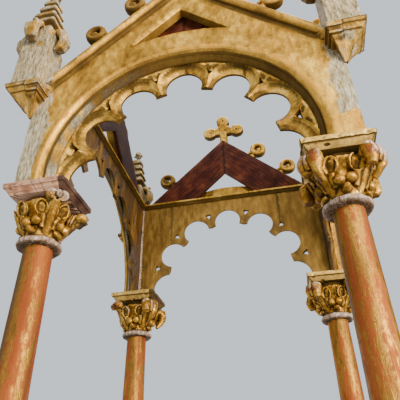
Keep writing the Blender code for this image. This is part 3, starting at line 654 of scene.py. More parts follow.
traceryGilding = agedGilding("water_gilding_on_tracery", {
    **baseLook, "broadPatch": 0.080,
    "deepGold": "#765422", "gold": "#BA8C36", "brightGold": "#F2C866", "darkBole": "#5A3418", "lightBole": "#8E5426",
    "bole": -0.06, "ridgeRub": 0.12, "ridgeGesso": 0.05, "gessoAmount": 0.02,
    "undersideShade": 1.0, "hollowDirtAndShade": 1.6, "roughness": 0.40,
})
abacusGilding = agedGilding("dull_gilding_on_abaci", {
    **baseLook, "broadPatch": 0.050,
    "deepGold": "#8C6C36", "gold": "#BC984E", "brightGold": "#E6C470", "darkBole": "#5A3418", "lightBole": "#8E5426",
    "bole": 0.04, "ridgeRub": 0.12, "gessoAmount": 0.05,
    "undersideShade": 0.8, "edgeTint": "#D8B87C", "metal": 0.66, "roughness": 0.46,
})
innerGilding = agedGilding("oil_gilding_inside", {
    **baseLook, "stretch": (1.0, 1.0, 0.35), "broadPatch": 0.130,
    "deepGold": "#6E5028", "gold": "#987438", "brightGold": "#C69E50", "darkBole": "#5A3418", "lightBole": "#8E5426",
    "bole": -0.08, "ridgeRub": 0.10, "ridgeGesso": 0.04, "gessoAmount": -0.02, "paleGesso": "#E2D8CC",
    "gesso": "#C4B29C", "soilAndShade": "#463A20", "dirtAndShade": 0.80, "roughness": 0.46,
})
# soot and painted shade darken the inner faces of the side walls
sootyShadedGilding = agedGilding("sooty_inside_face_with_painted_shade", {
    **baseLook, "stretch": (1.0, 1.0, 0.20), "broadPatch": 0.060,
    "deepGold": "#4E3616", "gold": "#7A5826", "brightGold": "#B88A40",
    "bole": -0.1, "ridgeRub": 0.0, "ridgeGesso": 0.0, "gessoAmount": 0.04,
    "paleGesso": "#7C6C66", "gesso": "#504036", "darkGesso": "#281C16", "metal": 0.70, "roughness": 0.46,
})
columnGilding = agedGilding("gilding_rubbed_to_bole", {
    **baseLook, "stretch": (1.0, 1.0, 0.22), "broadPatch": 0.036, "patch": 0.010, "speck": 0.0065, "island": 0.008,
    "deepGold": "#5E421C", "gold": "#A07430", "brightGold": "#E2B04E", "darkBole": "#521C10", "lightBole": "#A04028",
    "bole": 0.246, "boleSoft": 0.19, "boleTop": 0.82, "ridgeRub": 0.0, "gessoAmount": 0.060,
    "paleGesso": "#C8B8A0", "gesso": "#94826C", "soilAndShade": "#3A2C1A", "dirtAndShade": 0.82,
    "metal": 0.88, "edgeTint": "#A87838", "roughness": 0.46,
})
pinnacleGesso = agedGilding("gesso_with_gold_remains", {
    **baseLook, "stretch": (1.0, 1.0, 0.5), "gessoAmount": 0.10, "gessoSoft": 0.16,
    "deepGold": "#604418", "gold": "#987434", "brightGold": "#D4A856",
    "paleGesso": "#BAAE92", "gesso": "#8C8064", "darkGesso": "#4A4030", "dirtAndShade": 0.9, "metal": 0.6, "roughness": 0.5,
})


def woodSurface(name, look):
    # Plain wood, planed or sawn: stretched grain with darker pores, dull
    material, tree, shader = newSurface(name)
    rgba = {"data_type": "RGBA"}
    place = addNode(tree, "ShaderNodeAttribute", {"attribute_name": "grain"}, out=1)
    along = addNode(tree, "ShaderNodeMapping", None, {"Vector": place, "Scale": (0.09, 1.0, 1.0)})
    grain = {"Vector": along, "Scale": 1 / look["grain"], "Detail": 8.0, "Distortion": 0.6}
    grain = addNode(tree, "ShaderNodeTexNoise", None, grain)
    cloud = {"Vector": place, "Scale": 1 / look["cloud"], "Detail": 5.0}
    cloud = addNode(tree, "ShaderNodeTexNoise", None, cloud)
    ridge = addNode(tree, "ShaderNodeAttribute", {"attribute_name": "ridge"}, out=2)
    grimeAndShade = addNode(tree, "ShaderNodeAttribute", {"attribute_name": "grimeAndShade"}, out=2)
    tone = addNode(tree, "ShaderNodeMix", {"data_type": "FLOAT"}, {0: 0.5, 2: grain, 3: cloud})
    ramp = addNode(tree, "ShaderNodeValToRGB", None, {0: tone}, out=None)
    setTones(ramp, 0.64, (look["dark"], look["middle"], look["light"]))
    edge = addNode(tree, "ShaderNodeMath", {"operation": "MULTIPLY"}, {0: ridge, 1: look["edge"]})
    colour = {0: edge, 6: ramp.outputs[0], 7: linear(look["edgeHex"])}
    colour = addNode(tree, "ShaderNodeMix", rgba, colour, out=2)
    # the grime layer darkens the wood with dirt and painted shade
    colour = addNode(tree, "ShaderNodeMix", rgba, {0: grimeAndShade, 6: colour, 7: linear(look["soilAndShade"])}, out=2)
    tree.links.new(colour, shader.inputs["Base Color"])
    shader.inputs["Roughness"].default_value = look["roughness"]
    shader.inputs["Specular IOR Level"].default_value = look["shine"]
    bump = addNode(tree, "ShaderNodeBump", None, {"Strength": 0.5, "Distance": 0.0006, "Height": grain})
    tree.links.new(bump, shader.inputs["Normal"])
    return material


stainedWood = woodSurface("stained_poplar", {
    "grain": 0.005, "cloud": 0.040, "dark": "#260B04", "middle": "#481A0C", "light": "#743A20",
    "edge": 0.12, "edgeHex": "#8A5A40", "soilAndShade": "#2A1409", "roughness": 0.66, "shine": 0.10,
})
bareWood = woodSurface("bare_sawn_limewood", {
    "grain": 0.003, "cloud": 0.026, "dark": "#6A4430", "middle": "#96684C", "light": "#BE997C",
    "edge": 0.35, "edgeHex": "#CDB4A2", "soilAndShade": "#2A1409", "roughness": 0.72, "shine": 0.25,
})
print("materials ready")


# Wall shapes

wallSizes = {
    "rise": 0.036,  # arch centre above the abacus
    "cuspRadius": 0.207,
    "foilRadius": 0.261,
    "cuspWidth": 0.027,
    "foils": 5,
    "reach": 0.2535,
    "drop": 0.009,
    "foilCentre": 0.2184,
    "foilCircle": 0.0428,
    "rimCircle": 0.066,  # outer edge of the hollow moulding round each foil
    "edgeDepth": 0.0145,
    "fieldDepth": 0.0100,
    "fieldEnd": 0.262,
    "eyePlace": 0.253,
    "eyeSize": 0.0125,
    "top": 0.345,
    "archRadius": 0.277,
    "splayDepth": 0.0233,
    "creasePlace": 0.0140,
    "creaseRun": (0.0185, 0.0135, 0.0085, 0.0075),  # place of the crease from the left foot to the right
    "rollPlace": 0.0280,
    "rollInner": 0.0136,
    "rollHalf": 0.0124,
    "rollCrest": 0.0020,
    "creaseDepth": -0.0150,
    "piercing": 0.372,
    "rakeWidth": 0.086,
    "rafterWidth": 0.116,
    "rakeRoll": 0.0118,
    "rollProud": 0.0020,
    "corbelTop": 0.267,
    "coveWidth": 0.016,
    "coveDepth": 0.0035,
    "ringOffsets": (0.003, 0.007, 0.011, 0.0136, 0.0144, 0.0158, 0.0178, 0.0210, 0.0245, 0.0280, 0.0315,
                    0.0345, 0.0375, 0.0404, 0.0430, 0.0460, 0.0500),
    "rakeDrops": (0.0008, 0.0030, 0.0070, 0.0118, 0.0166, 0.0206, 0.0228, 0.0240, 0.0256, 0.0290, 0.0316,
                  0.0350, 0.0390, 0.0400),
    "cracks": {"front": (-0.126, 0.0065, 0.143), "back": (0.198, -0.177), "left": (0.10,), "right": (-0.12,)},
}
rakeAngle = math.radians(43.0)
slope = math.tan(rakeAngle)
pinnaclePlace = outerFace + 0.0093
pinnacleHalf = 0.035
pinnacleInner = pinnaclePlace - pinnacleHalf - gap


def foilArc(first, second, deepest, steps):
    middle = Vector(((first[0] + second[0]) / 2, (first[1] + second[1]) / 2))
    deep = Vector(deepest)
    half = (Vector(first) - middle).length
    sagitta = (deep - middle).length
    radius = (half**2 + sagitta**2) / (2 * sagitta)
    centre = deep + (middle - deep).normalized() * radius
    start = math.atan2(first[1] - centre.y, first[0] - centre.x)
    end = math.atan2(second[1] - centre.y, second[0] - centre.x)
    while end < start:
        end += math.tau
    return arc(centre, radius, start, end, steps)


def lowerFoil(s):
    # Upper end and centre of the half foil at the right foot
    halfStep = math.pi / (s["foils"] + 1) / 2
    end = polar(s["cuspRadius"], halfStep - math.asin(s["cuspWidth"] / 2 / s["cuspRadius"]), s["rise"])
    level = s["rise"] - s["drop"]
    middle = (s["reach"] ** 2 - end[0] ** 2 - (end[1] - level) ** 2) / (2 * (s["reach"] - end[0]))
    return end, (middle, level)


def cuspedOpening(s, steps):
    # From the right foot over the head to the left foot
    between = math.pi / (s["foils"] + 1)
    halfTip = math.asin(s["cuspWidth"] / 2 / s["cuspRadius"])
    lower, centre = lowerFoil(s)
    end = math.atan2(lower[1] - centre[1], lower[0] - centre[0])
    rightHalf = arc(centre, s["reach"] - centre[0], 0.0, end, steps // 2)
    points = [(s["reach"], 0.0)] + rightHalf
    for index in range(s["foils"]):
        angle = between * (index + 1)
        first = polar(s["cuspRadius"], angle - between / 2 + halfTip, s["rise"])
        second = polar(s["cuspRadius"], angle + between / 2 - halfTip, s["rise"])
        points += foilArc(first, second, polar(s["foilRadius"], angle, s["rise"]), steps)
    return points + [(-x, y) for x, y in reversed(rightHalf)] + [(-s["reach"], 0.0)]


def rakeHeight(across):
    return gableApex - abs(across) * slope


def foilCentres():
    # Middle and opening radius of each foil, the half foils at the feet included
    s = wallSizes
    between = math.pi / (s["foils"] + 1)
    centres = [
        (polar(s["foilCentre"], between * (i + 1), s["rise"]), s["foilCircle"]) for i in range(s["foils"])
    ]
    middle, level = lowerFoil(s)[1]
    radius = s["reach"] - middle
    return centres + [((middle, level), radius), ((-middle, level), radius)]


def traceryRelief(points):
    # Depth of the carving below the outer face
    s = wallSizes
    width = s["rimCircle"] - s["foilCircle"]
    best = np.full(len(points), 9.0)
    for centre, radius in foilCentres():
        away = np.hypot(points[:, 0] - centre[0], points[:, 1] - centre[1]) - radius
        best = np.minimum(best, away / width)
    share = np.clip(best, 0.0, 1.0)
    hollowed = s["edgeDepth"] * (0.55 * np.sqrt(1 - share**2) + 0.45 * (1 - share))
    fillet = smooth(best, 1.04, 1.22)
    depth = np.where(best < 1.0, hollowed, s["fieldDepth"] * fillet)
    radius = np.hypot(points[:, 0], points[:, 1] - s["rise"])
    rim = smooth(radius, s["fieldEnd"], s["archRadius"] - 0.002)
    return np.where(best > 1.0, depth * (1 - rim) + 0.0008 * rim, depth)


def breakCusp(opening):
    # The tip of the first cusp on the left has broken away
    s = wallSizes
    place = math.pi - math.pi / (s["foils"] + 1) / 2
    stub = []
    for x, y in opening:
        turn = math.atan2(y - s["rise"], x)
        radius = math.hypot(x, y - s["rise"])
        if abs(turn - place) < math.radians(8.0) and radius < 0.236:
            x, y = polar(0.2335 + 0.0025 * math.sin(turn * 90), turn, s["rise"])
        stub.append((x, y))
    return stub


def traceryLoops(halfWidth, lostCusp):
    # Outline of the board with its opening, and the small pierced eyes
    s = wallSizes
    opening = cuspedOpening(s, 16)
    if lostCusp:
        opening = breakCusp(opening)
    edge = [(-halfWidth, 0.0), (-halfWidth, s["top"]), (halfWidth, s["top"]), (halfWidth, 0.0)]
    loops = [densify(edge + opening, 0.0030)]
    for index in range(s["foils"] + 1):
        angle = math.pi / (s["foils"] + 1) * (index + 0.5)
        spot = polar(s["eyePlace"], angle, s["rise"])
        loops.append(densify([
            (spot[0] + s["eyeSize"] * math.cos(angle + t), spot[1] + s["eyeSize"] * math.sin(angle + t))
            for t in (math.pi / 3, math.pi, 5 * math.pi / 3)
        ], 0.0025))
    return loops


def makeTracery(index, side):
    s = wallSizes
    place = wallPlace(index)
    low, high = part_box(f"tracery_{side}")
    halfWidth = (high[0] - low[0]) / 2 if side in ("front", "back") else (high[1] - low[1]) / 2
    loops = traceryLoops(halfWidth, side == "left")
    between = math.pi / (s["foils"] + 1)
    lines = []
    for centre, radius in foilCentres():
        for share in (0.0, 0.2, 0.45, 0.7, 0.88, 1.0, 1.07, 1.14, 1.2):
            ringRadius = radius + (s["rimCircle"] - s["foilCircle"]) * share + 0.0006
            lines += arc(centre, ringRadius, 0.0, math.tau, 104)
    ridges = []
    for count in range(s["foils"] + 1):
        angle = between * (count + 0.5)
        ridges += [polar(0.208 + step * 0.0022, angle, s["rise"]) for step in range(17)]
    # a joint in the board shows as a crack
    cracks = []
    for across in s["cracks"][side]:
        cracks += [(across + 0.0008 * math.sin(step * 0.9), 0.004 + step * 0.0022) for step in range(154)]
    grid = gridPoints((-halfWidth, 0.0), (halfWidth, s["top"]), 0.0065)
    crackLine = np.array(cracks)

    def front(points, rim):
        seen = np.hypot(points[:, 0], points[:, 1] - s["rise"]) < s["archRadius"] + 0.012
        depth = np.where(seen, traceryRelief(points), 0.0)
        face = traceryFace - depth + ripple(points, 0.05, 11 + index) * 0.0004 * seen
        return np.where(rim, face - 0.0006, face)

    def back(points, rim):
        face = innerFace + np.abs(ripple(points, 0.12, 21 + index)) * 0.0006
        return np.where(rim, face + 0.0009, face)

    mesh = boardMesh(
        f"tracery_{side}", loops, [crackLine, ridges, lines, grid], (0.0009, 0.0015, 0.0021, 0.0042),
        front, back, place,
    )
    local = meshPoints(mesh) @ np.array(place.to_3x3())
    points = np.column_stack((local[:, 0], local[:, 1] - wallFoot))
    tree = KDTree(len(crackLine))
    for number, point in enumerate(crackLine):
        tree.insert((*point, 0.0), number)
    tree.balance()
    away = np.array([tree.find((x, y, 0.0))[2] for x, y in points])
    crack = smooth(-away, -0.0016, -0.0003) * 1.2
    radius = np.hypot(points[:, 0], points[:, 1] - s["rise"])
    outside = local[:, 2] > (innerFace + traceryFace) / 2
    bare = np.where(outside, smooth(radius, 0.262, 0.272) * 0.30, 0.0)
    if side in ("front", "back"):
        # painted shade on the cut edges of the board
        setSoffit(mesh, place.to_3x3().col[2], 1.0)
        # candle soot and handling dull the cusps inside, and dust lies on the left
        soot = np.where(outside, 0.0, 0.55 * smooth(-radius, -0.262, -0.225))
        dusty = 0.16 * outside * smooth(-points[:, 0], 0.10, 0.20)
        grimeAndShade = crack + soot * (0.8 + 0.4 * ripple(points, 0.03, 35 + index)) + 0.08 + dusty
        if side == "back":
            # pale gesso line down the inner corner
            corner = smooth(points[:, 0], 0.2965, 0.2985) * 0.9
            bare = np.maximum(bare, np.where(outside, 0.0, corner))
    else:
        # gold is left on the upper part of the inside
        lost = 0.86 + 0.26 * ripple(points * np.array((1.0, 0.3)), 0.03, 37 + index)
        lost = lost - 0.42 * smooth(points[:, 1], 0.13, 0.22)
        bare = np.where(outside, bare, lost)
        # painted shade on the inside faces of the side walls, heaviest on the right
        grimeAndShade = crack + np.where(outside, 0.05, 0.80 if side == "right" else 0.30)
    setLayer(mesh, "grimeAndShade", grimeAndShade)
    setLayer(mesh, "bare", bare)
    # the inner faces of the side walls take the sooty material that also carries painted shade
    finish = {"front": traceryGilding, "back": innerGilding}.get(side, sootyShadedGilding)
    addPiece(f"tracery_board_{side}", mesh, finish, [f"tracery_{side}"])


def rakeRows(length, spacing, drops):
    # Rows of points square to both rakes, at the same distances below the edge
    rows = []
    for step in range(int(length / spacing) + 1):
        for drop in drops:
            across = step * spacing * math.cos(rakeAngle) - drop * math.sin(rakeAngle)
            up = gableApex - step * spacing * math.sin(rakeAngle) - drop * math.cos(rakeAngle)
            if 0.0005 < across < pinnacleInner - 0.0015:
                rows += [(across, up), (-across, up)]
    return rows


def archBoardLoops(side):
    s = wallSizes
    opening = [(s["archRadius"], 0.0)] + arc((0.0, s["rise"]), s["archRadius"], 0.0, math.pi, 96)
    opening.append((-s["archRadius"], 0.0))
    if side in ("front", "back"):
        shoulder = [
            (-outerFace, 0.0), (-outerFace, s["corbelTop"]), (-pinnacleInner, s["corbelTop"]),
            (-pinnacleInner, rakeHeight(pinnacleInner)),
        ]
    else:
        end = boardFace - gap
        shoulder = [(-end, 0.0), (-end, rakeHeight(end))]
    outline = opening + shoulder + [(0.0, gableApex)] + [(-x, y) for x, y in reversed(shoulder)]
    apex = gableApex - s["rakeWidth"] / math.cos(rakeAngle)
    rise = apex - s["rise"]
    square, middle = 1 + slope**2, rise * slope
    across = (middle - math.sqrt(middle**2 - square * (rise**2 - s["piercing"] ** 2))) / square
    start = math.atan2(rise - across * slope, across)
    piercing = arc((0.0, s["rise"]), s["piercing"], start, math.pi - start, 24) + [(0.0, apex)]
    return [densify(outline, 0.0045), densify(piercing, 0.0035)]


def creaseAt(cosine):
    # The moulding was cut by hand: its slope is broad at the left foot and narrow at the right
    return np.interp(cosine, (-1.0, -0.7, 0.0, 1.0), wallSizes["creaseRun"])


def mouldingPlace(offset, cosine):
    # True distance from the arris of a line of the even moulding
    s = wallSizes
    crease, end = creaseAt(cosine), s["rollPlace"] + s["rollHalf"]
    beyond = crease + (offset - s["creasePlace"]) * (end - crease) / (end - s["creasePlace"])
    beyond = np.where(offset < end, beyond, offset)
    return np.where(offset < s["creasePlace"], offset * crease / s["creasePlace"], beyond)


def evenPlace(points):
    # Distance from the arris as it would be in an even moulding, and the cosine round the arch
    s = wallSizes
    up = np.maximum(points[:, 1] - s["rise"], 0.0)
    reach = np.hypot(points[:, 0], up)
    cosine = points[:, 0] / np.maximum(reach, 1e-6)
    away = reach - s["archRadius"]
    crease, end = creaseAt(cosine), s["rollPlace"] + s["rollHalf"]
    beyond = s["creasePlace"] + (away - crease) * (end - s["creasePlace"]) / (end - crease)
    return np.where(away < crease, away * s["creasePlace"] / crease, np.where(away < end, beyond, away)), cosine


def boardRelief(points, loops):
    # Height of the mouldings over the flat face of the arch board
    s = wallSizes
    radius, cosine = evenPlace(points)
    # from the arris out: a dull slope, a crease, a fat roll and a shallow quirk beside the flat
    groove = s["creaseDepth"]
    inner = -s["splayDepth"] + (s["splayDepth"] + groove + 0.0030) * np.clip(radius / s["creasePlace"], 0.0, 1.0)
    away = np.clip((s["rollPlace"] - radius) / s["rollInner"], 0.0, 1.0)
    rising = groove + (s["rollCrest"] - groove) * (1 - away**2.6)
    away = np.clip((radius - s["rollPlace"]) / s["rollHalf"], 0.0, 1.0)
    falling = s["rollCrest"] * (0.5 + 0.5 * np.cos(math.pi * away))
    outer = np.where(radius < s["rollPlace"], rising, falling)
    height = np.where(radius < s["creasePlace"], inner, outer)
    drop = (gableApex - points[:, 1] - np.abs(points[:, 0]) * slope) * math.cos(rakeAngle)
    across = (drop - s["rakeRoll"]) / s["rakeRoll"]
    rakeRoll = s["rollProud"] + np.sqrt(np.clip(1 - across**2, 0.0, 1.0)) * s["rakeRoll"]
    height = np.where(np.abs(across) <= 1.0, np.maximum(height, rakeRoll), height)
    beyond = (drop - 2 * s["rakeRoll"]) / s["coveWidth"]
    cove = (beyond > 0) & (beyond < 1)
    height = np.where(cove, -s["coveDepth"] * np.sin(math.pi * beyond), height)
    edge = loopDistance(points, loops[1])
    return height - 0.004 * (1 - smooth(edge, 0.0, 0.006))


boardWear = {
    "slope": 0.36,  # painted shade on the slope inside the roll
    "shade": 0.62,  # more of it on the head and the right
    # crease and quirk weigh painted shade lines in the moulding
    "crease": 0.90,
    "quirk": 0.10,
    "slopeGesso": 0.92,  # bare gesso of the slope on the left
    "rubbedRoll": 0.62,
    "crocketDirt": 0.12,
    "leftCrocketDarkening": 0.34,
}


def band(values, middle, width):
    return np.exp(-(((values - middle) / width) ** 2))


def setBoardWear(board, index, side):
    s, w = wallSizes, boardWear
    points = meshPoints(board) @ np.array(wallPlace(index).to_3x3())
    across, up = points[:, 0], points[:, 1]
    flat = np.column_stack((across, up))
    arch, cosine = evenPlace(np.column_stack((across, up - wallFoot)))
    # the gesso of the posts is bare, apart from a patch kept low on the right
    post = np.abs(across) + 0.010 * (across < 0) + ripple(flat, 0.05, 51 + index) * 0.010
    post = smooth(post, 0.300, 0.326) * smooth(arch, 0.0385, 0.0420)
    lower = smooth(-(up - wallFoot), -0.40, -0.16)
    kept = (across > 0) * smooth(-(up - wallFoot) + ripple(flat, 0.02, 55) * 0.006, -0.064, -0.050)
    slopeFace = arch < s["creasePlace"]
    shaded = smooth(cosine, -0.75, 0.25)
    # painted shade on the moulding: a dark line in the crease, the slope inside the roll, most on the head and the
    # right, and a faint line in the quirk
    dirtAndShade = w["crease"] * band(arch, s["creasePlace"] + 0.0003, 0.0013)
    dirtAndShade = dirtAndShade + slopeFace * (w["slope"] + shaded * (w["shade"] + 0.16 * ripple(flat, 0.02, 69 + index)))
    dirtAndShade = dirtAndShade + w["quirk"] * band(arch, s["rollPlace"] + s["rollHalf"], 0.0030)
    if side == "right":
        # the board of the right wall, seen through the opening, gets a quarter of the painted shade and dirt
        dirtAndShade = dirtAndShade * 0.25
    setLayer(board, "grimeAndShade", 0.06 + 0.14 * ripple(flat, 0.09, 65 + index) + dirtAndShade)
    slopeBand = w["slopeGesso"] * slopeFace * (1 - shaded) * (0.75 + 0.45 * ripple(flat, 0.05, 67 + index))
    bare = np.maximum(post * (0.40 + 0.60 * lower) * (1 - kept), slopeBand)
    setLayer(board, "bare", bare + 0.05 * ripple(flat, 0.12, 61 + index))
    # the burnished roll and the kept gilding are rubbed warm
    rubbed = np.maximum(band(arch, 0.0285, 0.0085), kept)
    setLayer(board, "worn", w["rubbedRoll"] * rubbed * (0.9 + 0.3 * ripple(flat, 0.03, 71 + index)))


def makeArchBoard(index, side):
    s, w = wallSizes, boardWear
    loops = archBoardLoops(side)
    rings = []
    angles = np.linspace(0.0, math.pi, 251)
    for offset in s["ringOffsets"]:
        radii = s["archRadius"] + mouldingPlace(offset, np.cos(angles))
        rings += list(zip(radii * np.cos(angles), s["rise"] + radii * np.sin(angles)))
        rings += [
            (end * radii[-1 if end < 0 else 0], 0.0035 + 0.0036 * k) for k in range(9) for end in (-1, 1)
        ]
    rows = rakeRows(pinnacleInner / math.cos(rakeAngle), 0.0042, s["rakeDrops"])
    grid = gridPoints((-outerFace, 0.0), (outerFace, gableApex), 0.0085)

    def front(points, rim):
        face = outerFace + boardRelief(points, loops) + ripple(points, 0.10, 41 + index) * 0.0006
        return np.where(rim, face - 0.0010, face)

    def back(points, rim):
        return np.where(rim, boardFace + 0.0006, boardFace + 0.0001)

    board = boardMesh(
        f"arch_board_{side}", loops, [rings, rows, grid], (0.0012, 0.0020, 0.0050), front, back,
        wallPlace(index),
    )
    setBoardWear(board, index, side)
    crockets = crocketRow(index, side)
    setLayer(crockets, "bare", np.zeros(len(crockets.vertices)))
    # the crockets on the left are darker
    left = meshPoints(crockets)[:, 0] < 0
    setLayer(crockets, "grimeAndShade", w["crocketDirt"] + w["leftCrocketDarkening"] * left)
    mesh = joined(f"arch_board_{side}", [board, crockets])
    addPiece(f"gable_board_{side}", mesh, boardGilding, [f"arch_board_{side}"], sharp=40.0)


# Crockets: one carved leaf, set along both rakes by a node tree

crocketSizes = {"first": 0.129, "step": 0.133, "count": 2, "height": 0.0830, "bulb": 0.0305, "thick": 0.031}


def tubeMesh(paths, sides=10):
    # Round bodies along paths of (x, y, z, radius)
    curve = bpy.data.curves.new("tube", "CURVE")
    curve.dimensions = "3D"
    curve.bevel_depth = 1.0
    curve.bevel_resolution = max(0, sides // 2 - 2)
    curve.use_fill_caps = True
    for path in paths:
        spline = curve.splines.new("POLY")
        spline.points.add(len(path) - 1)
        for point, (x, y, z, radius) in zip(spline.points, path):
            point.co = (x, y, z, 1.0)
            point.radius = radius
    mesh = bakedMesh(newObject("tube", curve), "tube")
    with editing(mesh) as shape:
        bmesh.ops.remove_doubles(shape, verts=shape.verts, dist=0.00001)
        bmesh.ops.recalc_face_normals(shape, faces=shape.faces)
    return mesh


def eggMesh(centre, radii, turn=None, level=3):
    spin = turn.to_4x4() if turn is not None else Matrix.Identity(4)
    place = Matrix.Translation(centre) @ spin @ Matrix.Diagonal((*radii, 1.0))
    mesh = bpy.data.meshes.new("egg")
    with editing(mesh) as shape:
        bmesh.ops.create_icosphere(shape, subdivisions=level, radius=1.0)
        bmesh.ops.transform(shape, verts=shape.verts, matrix=place)
    return mesh


def crocketShape():
    # Stem on +Y with a leaf that curls over into a ball; across the board is Z
    c = crocketSizes
    centre = c["height"] - c["bulb"]
    thick = c["thick"] / 2
    parts = []
    stem = [(0.0, -0.006, 0.0, 0.0125), (0.0, centre * 0.35, 0.0, 0.0100), (0.001, centre * 0.70, 0.0, 0.0110)]
    parts.append(tubeMesh([stem]))
    # the leaf runs once round the ball and then turns in on itself
    scroll = []
    for step in range(39):
        turn = math.radians(-135 + step * 15)
        inwards = max(0, step - 22)
        radius = c["bulb"] - 0.0085 - 0.0011 * inwards
        across, up = radius * math.cos(turn), centre + radius * math.sin(turn)
        scroll.append((across, up, 0.0, 0.0085 - 0.0002 * inwards))
    for shift, fat in ((-thick * 0.42, 1.0), (0.0, 1.10), (thick * 0.42, 1.0)):
        parts.append(tubeMesh([[(x, y, z + shift, r * fat) for x, y, z, r in scroll]]))
    parts.append(eggMesh((0.004, centre - 0.003, 0.0), (0.0090, 0.0080, thick * 1.02)))
    side = Matrix.Rotation(0.7, 3, "Z")
    parts.append(eggMesh((-0.013, centre * 0.50, 0.0), (0.0125, 0.0085, thick * 0.66), side))
    return carved("crocket", joined("crocket", parts), 0.0016, 2)


def newRule(name, inputs):
    # Empty node tree with its named inputs, given as (kind, name)
    tree = bpy.data.node_groups.new(name, "GeometryNodeTree")
    for kind, label in inputs:
        tree.interface.new_socket(label, in_out="INPUT", socket_type=f"NodeSocket{kind}")
    tree.interface.new_socket("Geometry", in_out="OUTPUT", socket_type="NodeSocketGeometry")
    return tree, tree.nodes.new("NodeGroupInput").outputs


def finishRule(tree, spots, leaf, finish, rotation, size):
    # Sets copies of a leaf on points, makes them real and gives them their finish
    leaf = addNode(tree, "GeometryNodeObjectInfo", None, {"Object": leaf}, out=None).outputs["Geometry"]
    copies = {"Points": spots, "Instance": leaf, "Rotation": rotation, "Scale": size}
    copies = addNode(tree, "GeometryNodeInstanceOnPoints", None, copies)
    solid = addNode(tree, "GeometryNodeRealizeInstances", None, {"Geometry": copies})
    solid = addNode(tree, "GeometryNodeSetMaterial", None, {"Geometry": solid, "Material": finish})
    addNode(tree, "NodeGroupOutput", None, {"Geometry": solid})


def crocketTree():
    tree, given = newRule("crockets on a rake", (
        ("Object", "Crocket"), ("Float", "First"), ("Float", "Step"), ("Int", "Count"), ("Float", "Rake"),
        ("Float", "Apex"), ("Int", "Lost"), ("Material", "Finish"),
    ))
    scale, times = {"operation": "SCALE"}, {"operation": "MULTIPLY"}
    run = addNode(tree, "ShaderNodeMath", {"operation": "COSINE"}, {0: given["Rake"]})
    sine = addNode(tree, "ShaderNodeMath", {"operation": "SINE"}, {0: given["Rake"]})
    fall = addNode(tree, "ShaderNodeMath", times, {0: sine, 1: -1.0})
    down = addNode(tree, "ShaderNodeCombineXYZ", None, {"X": run, "Y": fall})
    offset = addNode(tree, "ShaderNodeVectorMath", scale, {0: down, "Scale": given["Step"]})
    start = addNode(tree, "ShaderNodeVectorMath", scale, {0: down, "Scale": given["First"]})
    apex = addNode(tree, "ShaderNodeCombineXYZ", None, {"Y": given["Apex"]})
    start = addNode(tree, "ShaderNodeVectorMath", {"operation": "ADD"}, {0: start, 1: apex})
    line = {"Count": given["Count"], "Start Location": start, "Offset": offset}
    line = addNode(tree, "GeometryNodeMeshLine", {"mode": "OFFSET"}, line)
    number = addNode(tree, "GeometryNodeInputIndex")
    same = {"data_type": "INT", "operation": "EQUAL"}
    gone = addNode(tree, "FunctionNodeCompare", same, {2: number, 3: given["Lost"]})
    gone = {"Geometry": line, "Selection": gone}
    line = addNode(tree, "GeometryNodeDeleteGeometry", {"domain": "POINT"}, gone)
    # the stem stands square on the rake, and each copy is turned and sized a little
    chance = {"data_type": "FLOAT"}
    lean = addNode(tree, "ShaderNodeMath", times, {0: given["Rake"], 1: -1.0})
    uneven = addNode(tree, "FunctionNodeRandomValue", chance, {2: -0.10, 3: 0.10, "Seed": 4}, out=1)
    lean = addNode(tree, "ShaderNodeMath", {"operation": "ADD"}, {0: lean, 1: uneven})
    turn = addNode(tree, "ShaderNodeCombineXYZ", None, {"Z": lean})
    size = addNode(tree, "FunctionNodeRandomValue", chance, {2: 0.95, 3: 1.02, "Seed": 9}, out=1)
    finishRule(tree, line, given["Crocket"], given["Finish"], turn, size)
    return tree


def nodeMesh(name, tree, values):
    # Runs a node tree on an empty carrier with its inputs set by identifier
    thing = newObject(name, bpy.data.meshes.new(name))
    modifier = thing.modifiers.new("rule", "NODES")
    modifier.node_group = tree
    for item in tree.interface.items_tree:
        if item.in_out == "INPUT" and item.name in values:
            modifier[item.identifier] = values[item.name]
    return bakedMesh(thing, name)


crocketLeaf = newObject("crocket_leaf", crocketShape())
crocketRule = crocketTree()


def crocketRow(index, side):
    c = crocketSizes
    meshes = []
    for hand in (-1.0, 1.0):
        lost = 0 if (side == "back" and hand > 0) else -1
        # the back wall is seen from inside, where its right is the photograph's left
        mesh = nodeMesh(f"crockets_{side}", crocketRule, {
            "Crocket": crocketLeaf, "First": c["first"], "Step": c["step"], "Count": c["count"],
            "Rake": rakeAngle, "Apex": gableApex, "Lost": lost, "Finish": carvingGilding,
        })
        if hand < 0:
            mesh.transform(Matrix.Diagonal((-1.0, 1.0, 1.0, 1.0)))
            mesh.flip_normals()
        meshes.append(mesh)
    row = joined(f"crockets_{side}", meshes)
    row.transform(wallPlace(index) @ Matrix.Translation((0.0, 0.0, (boardFace + outerFace) / 2)))
    return row


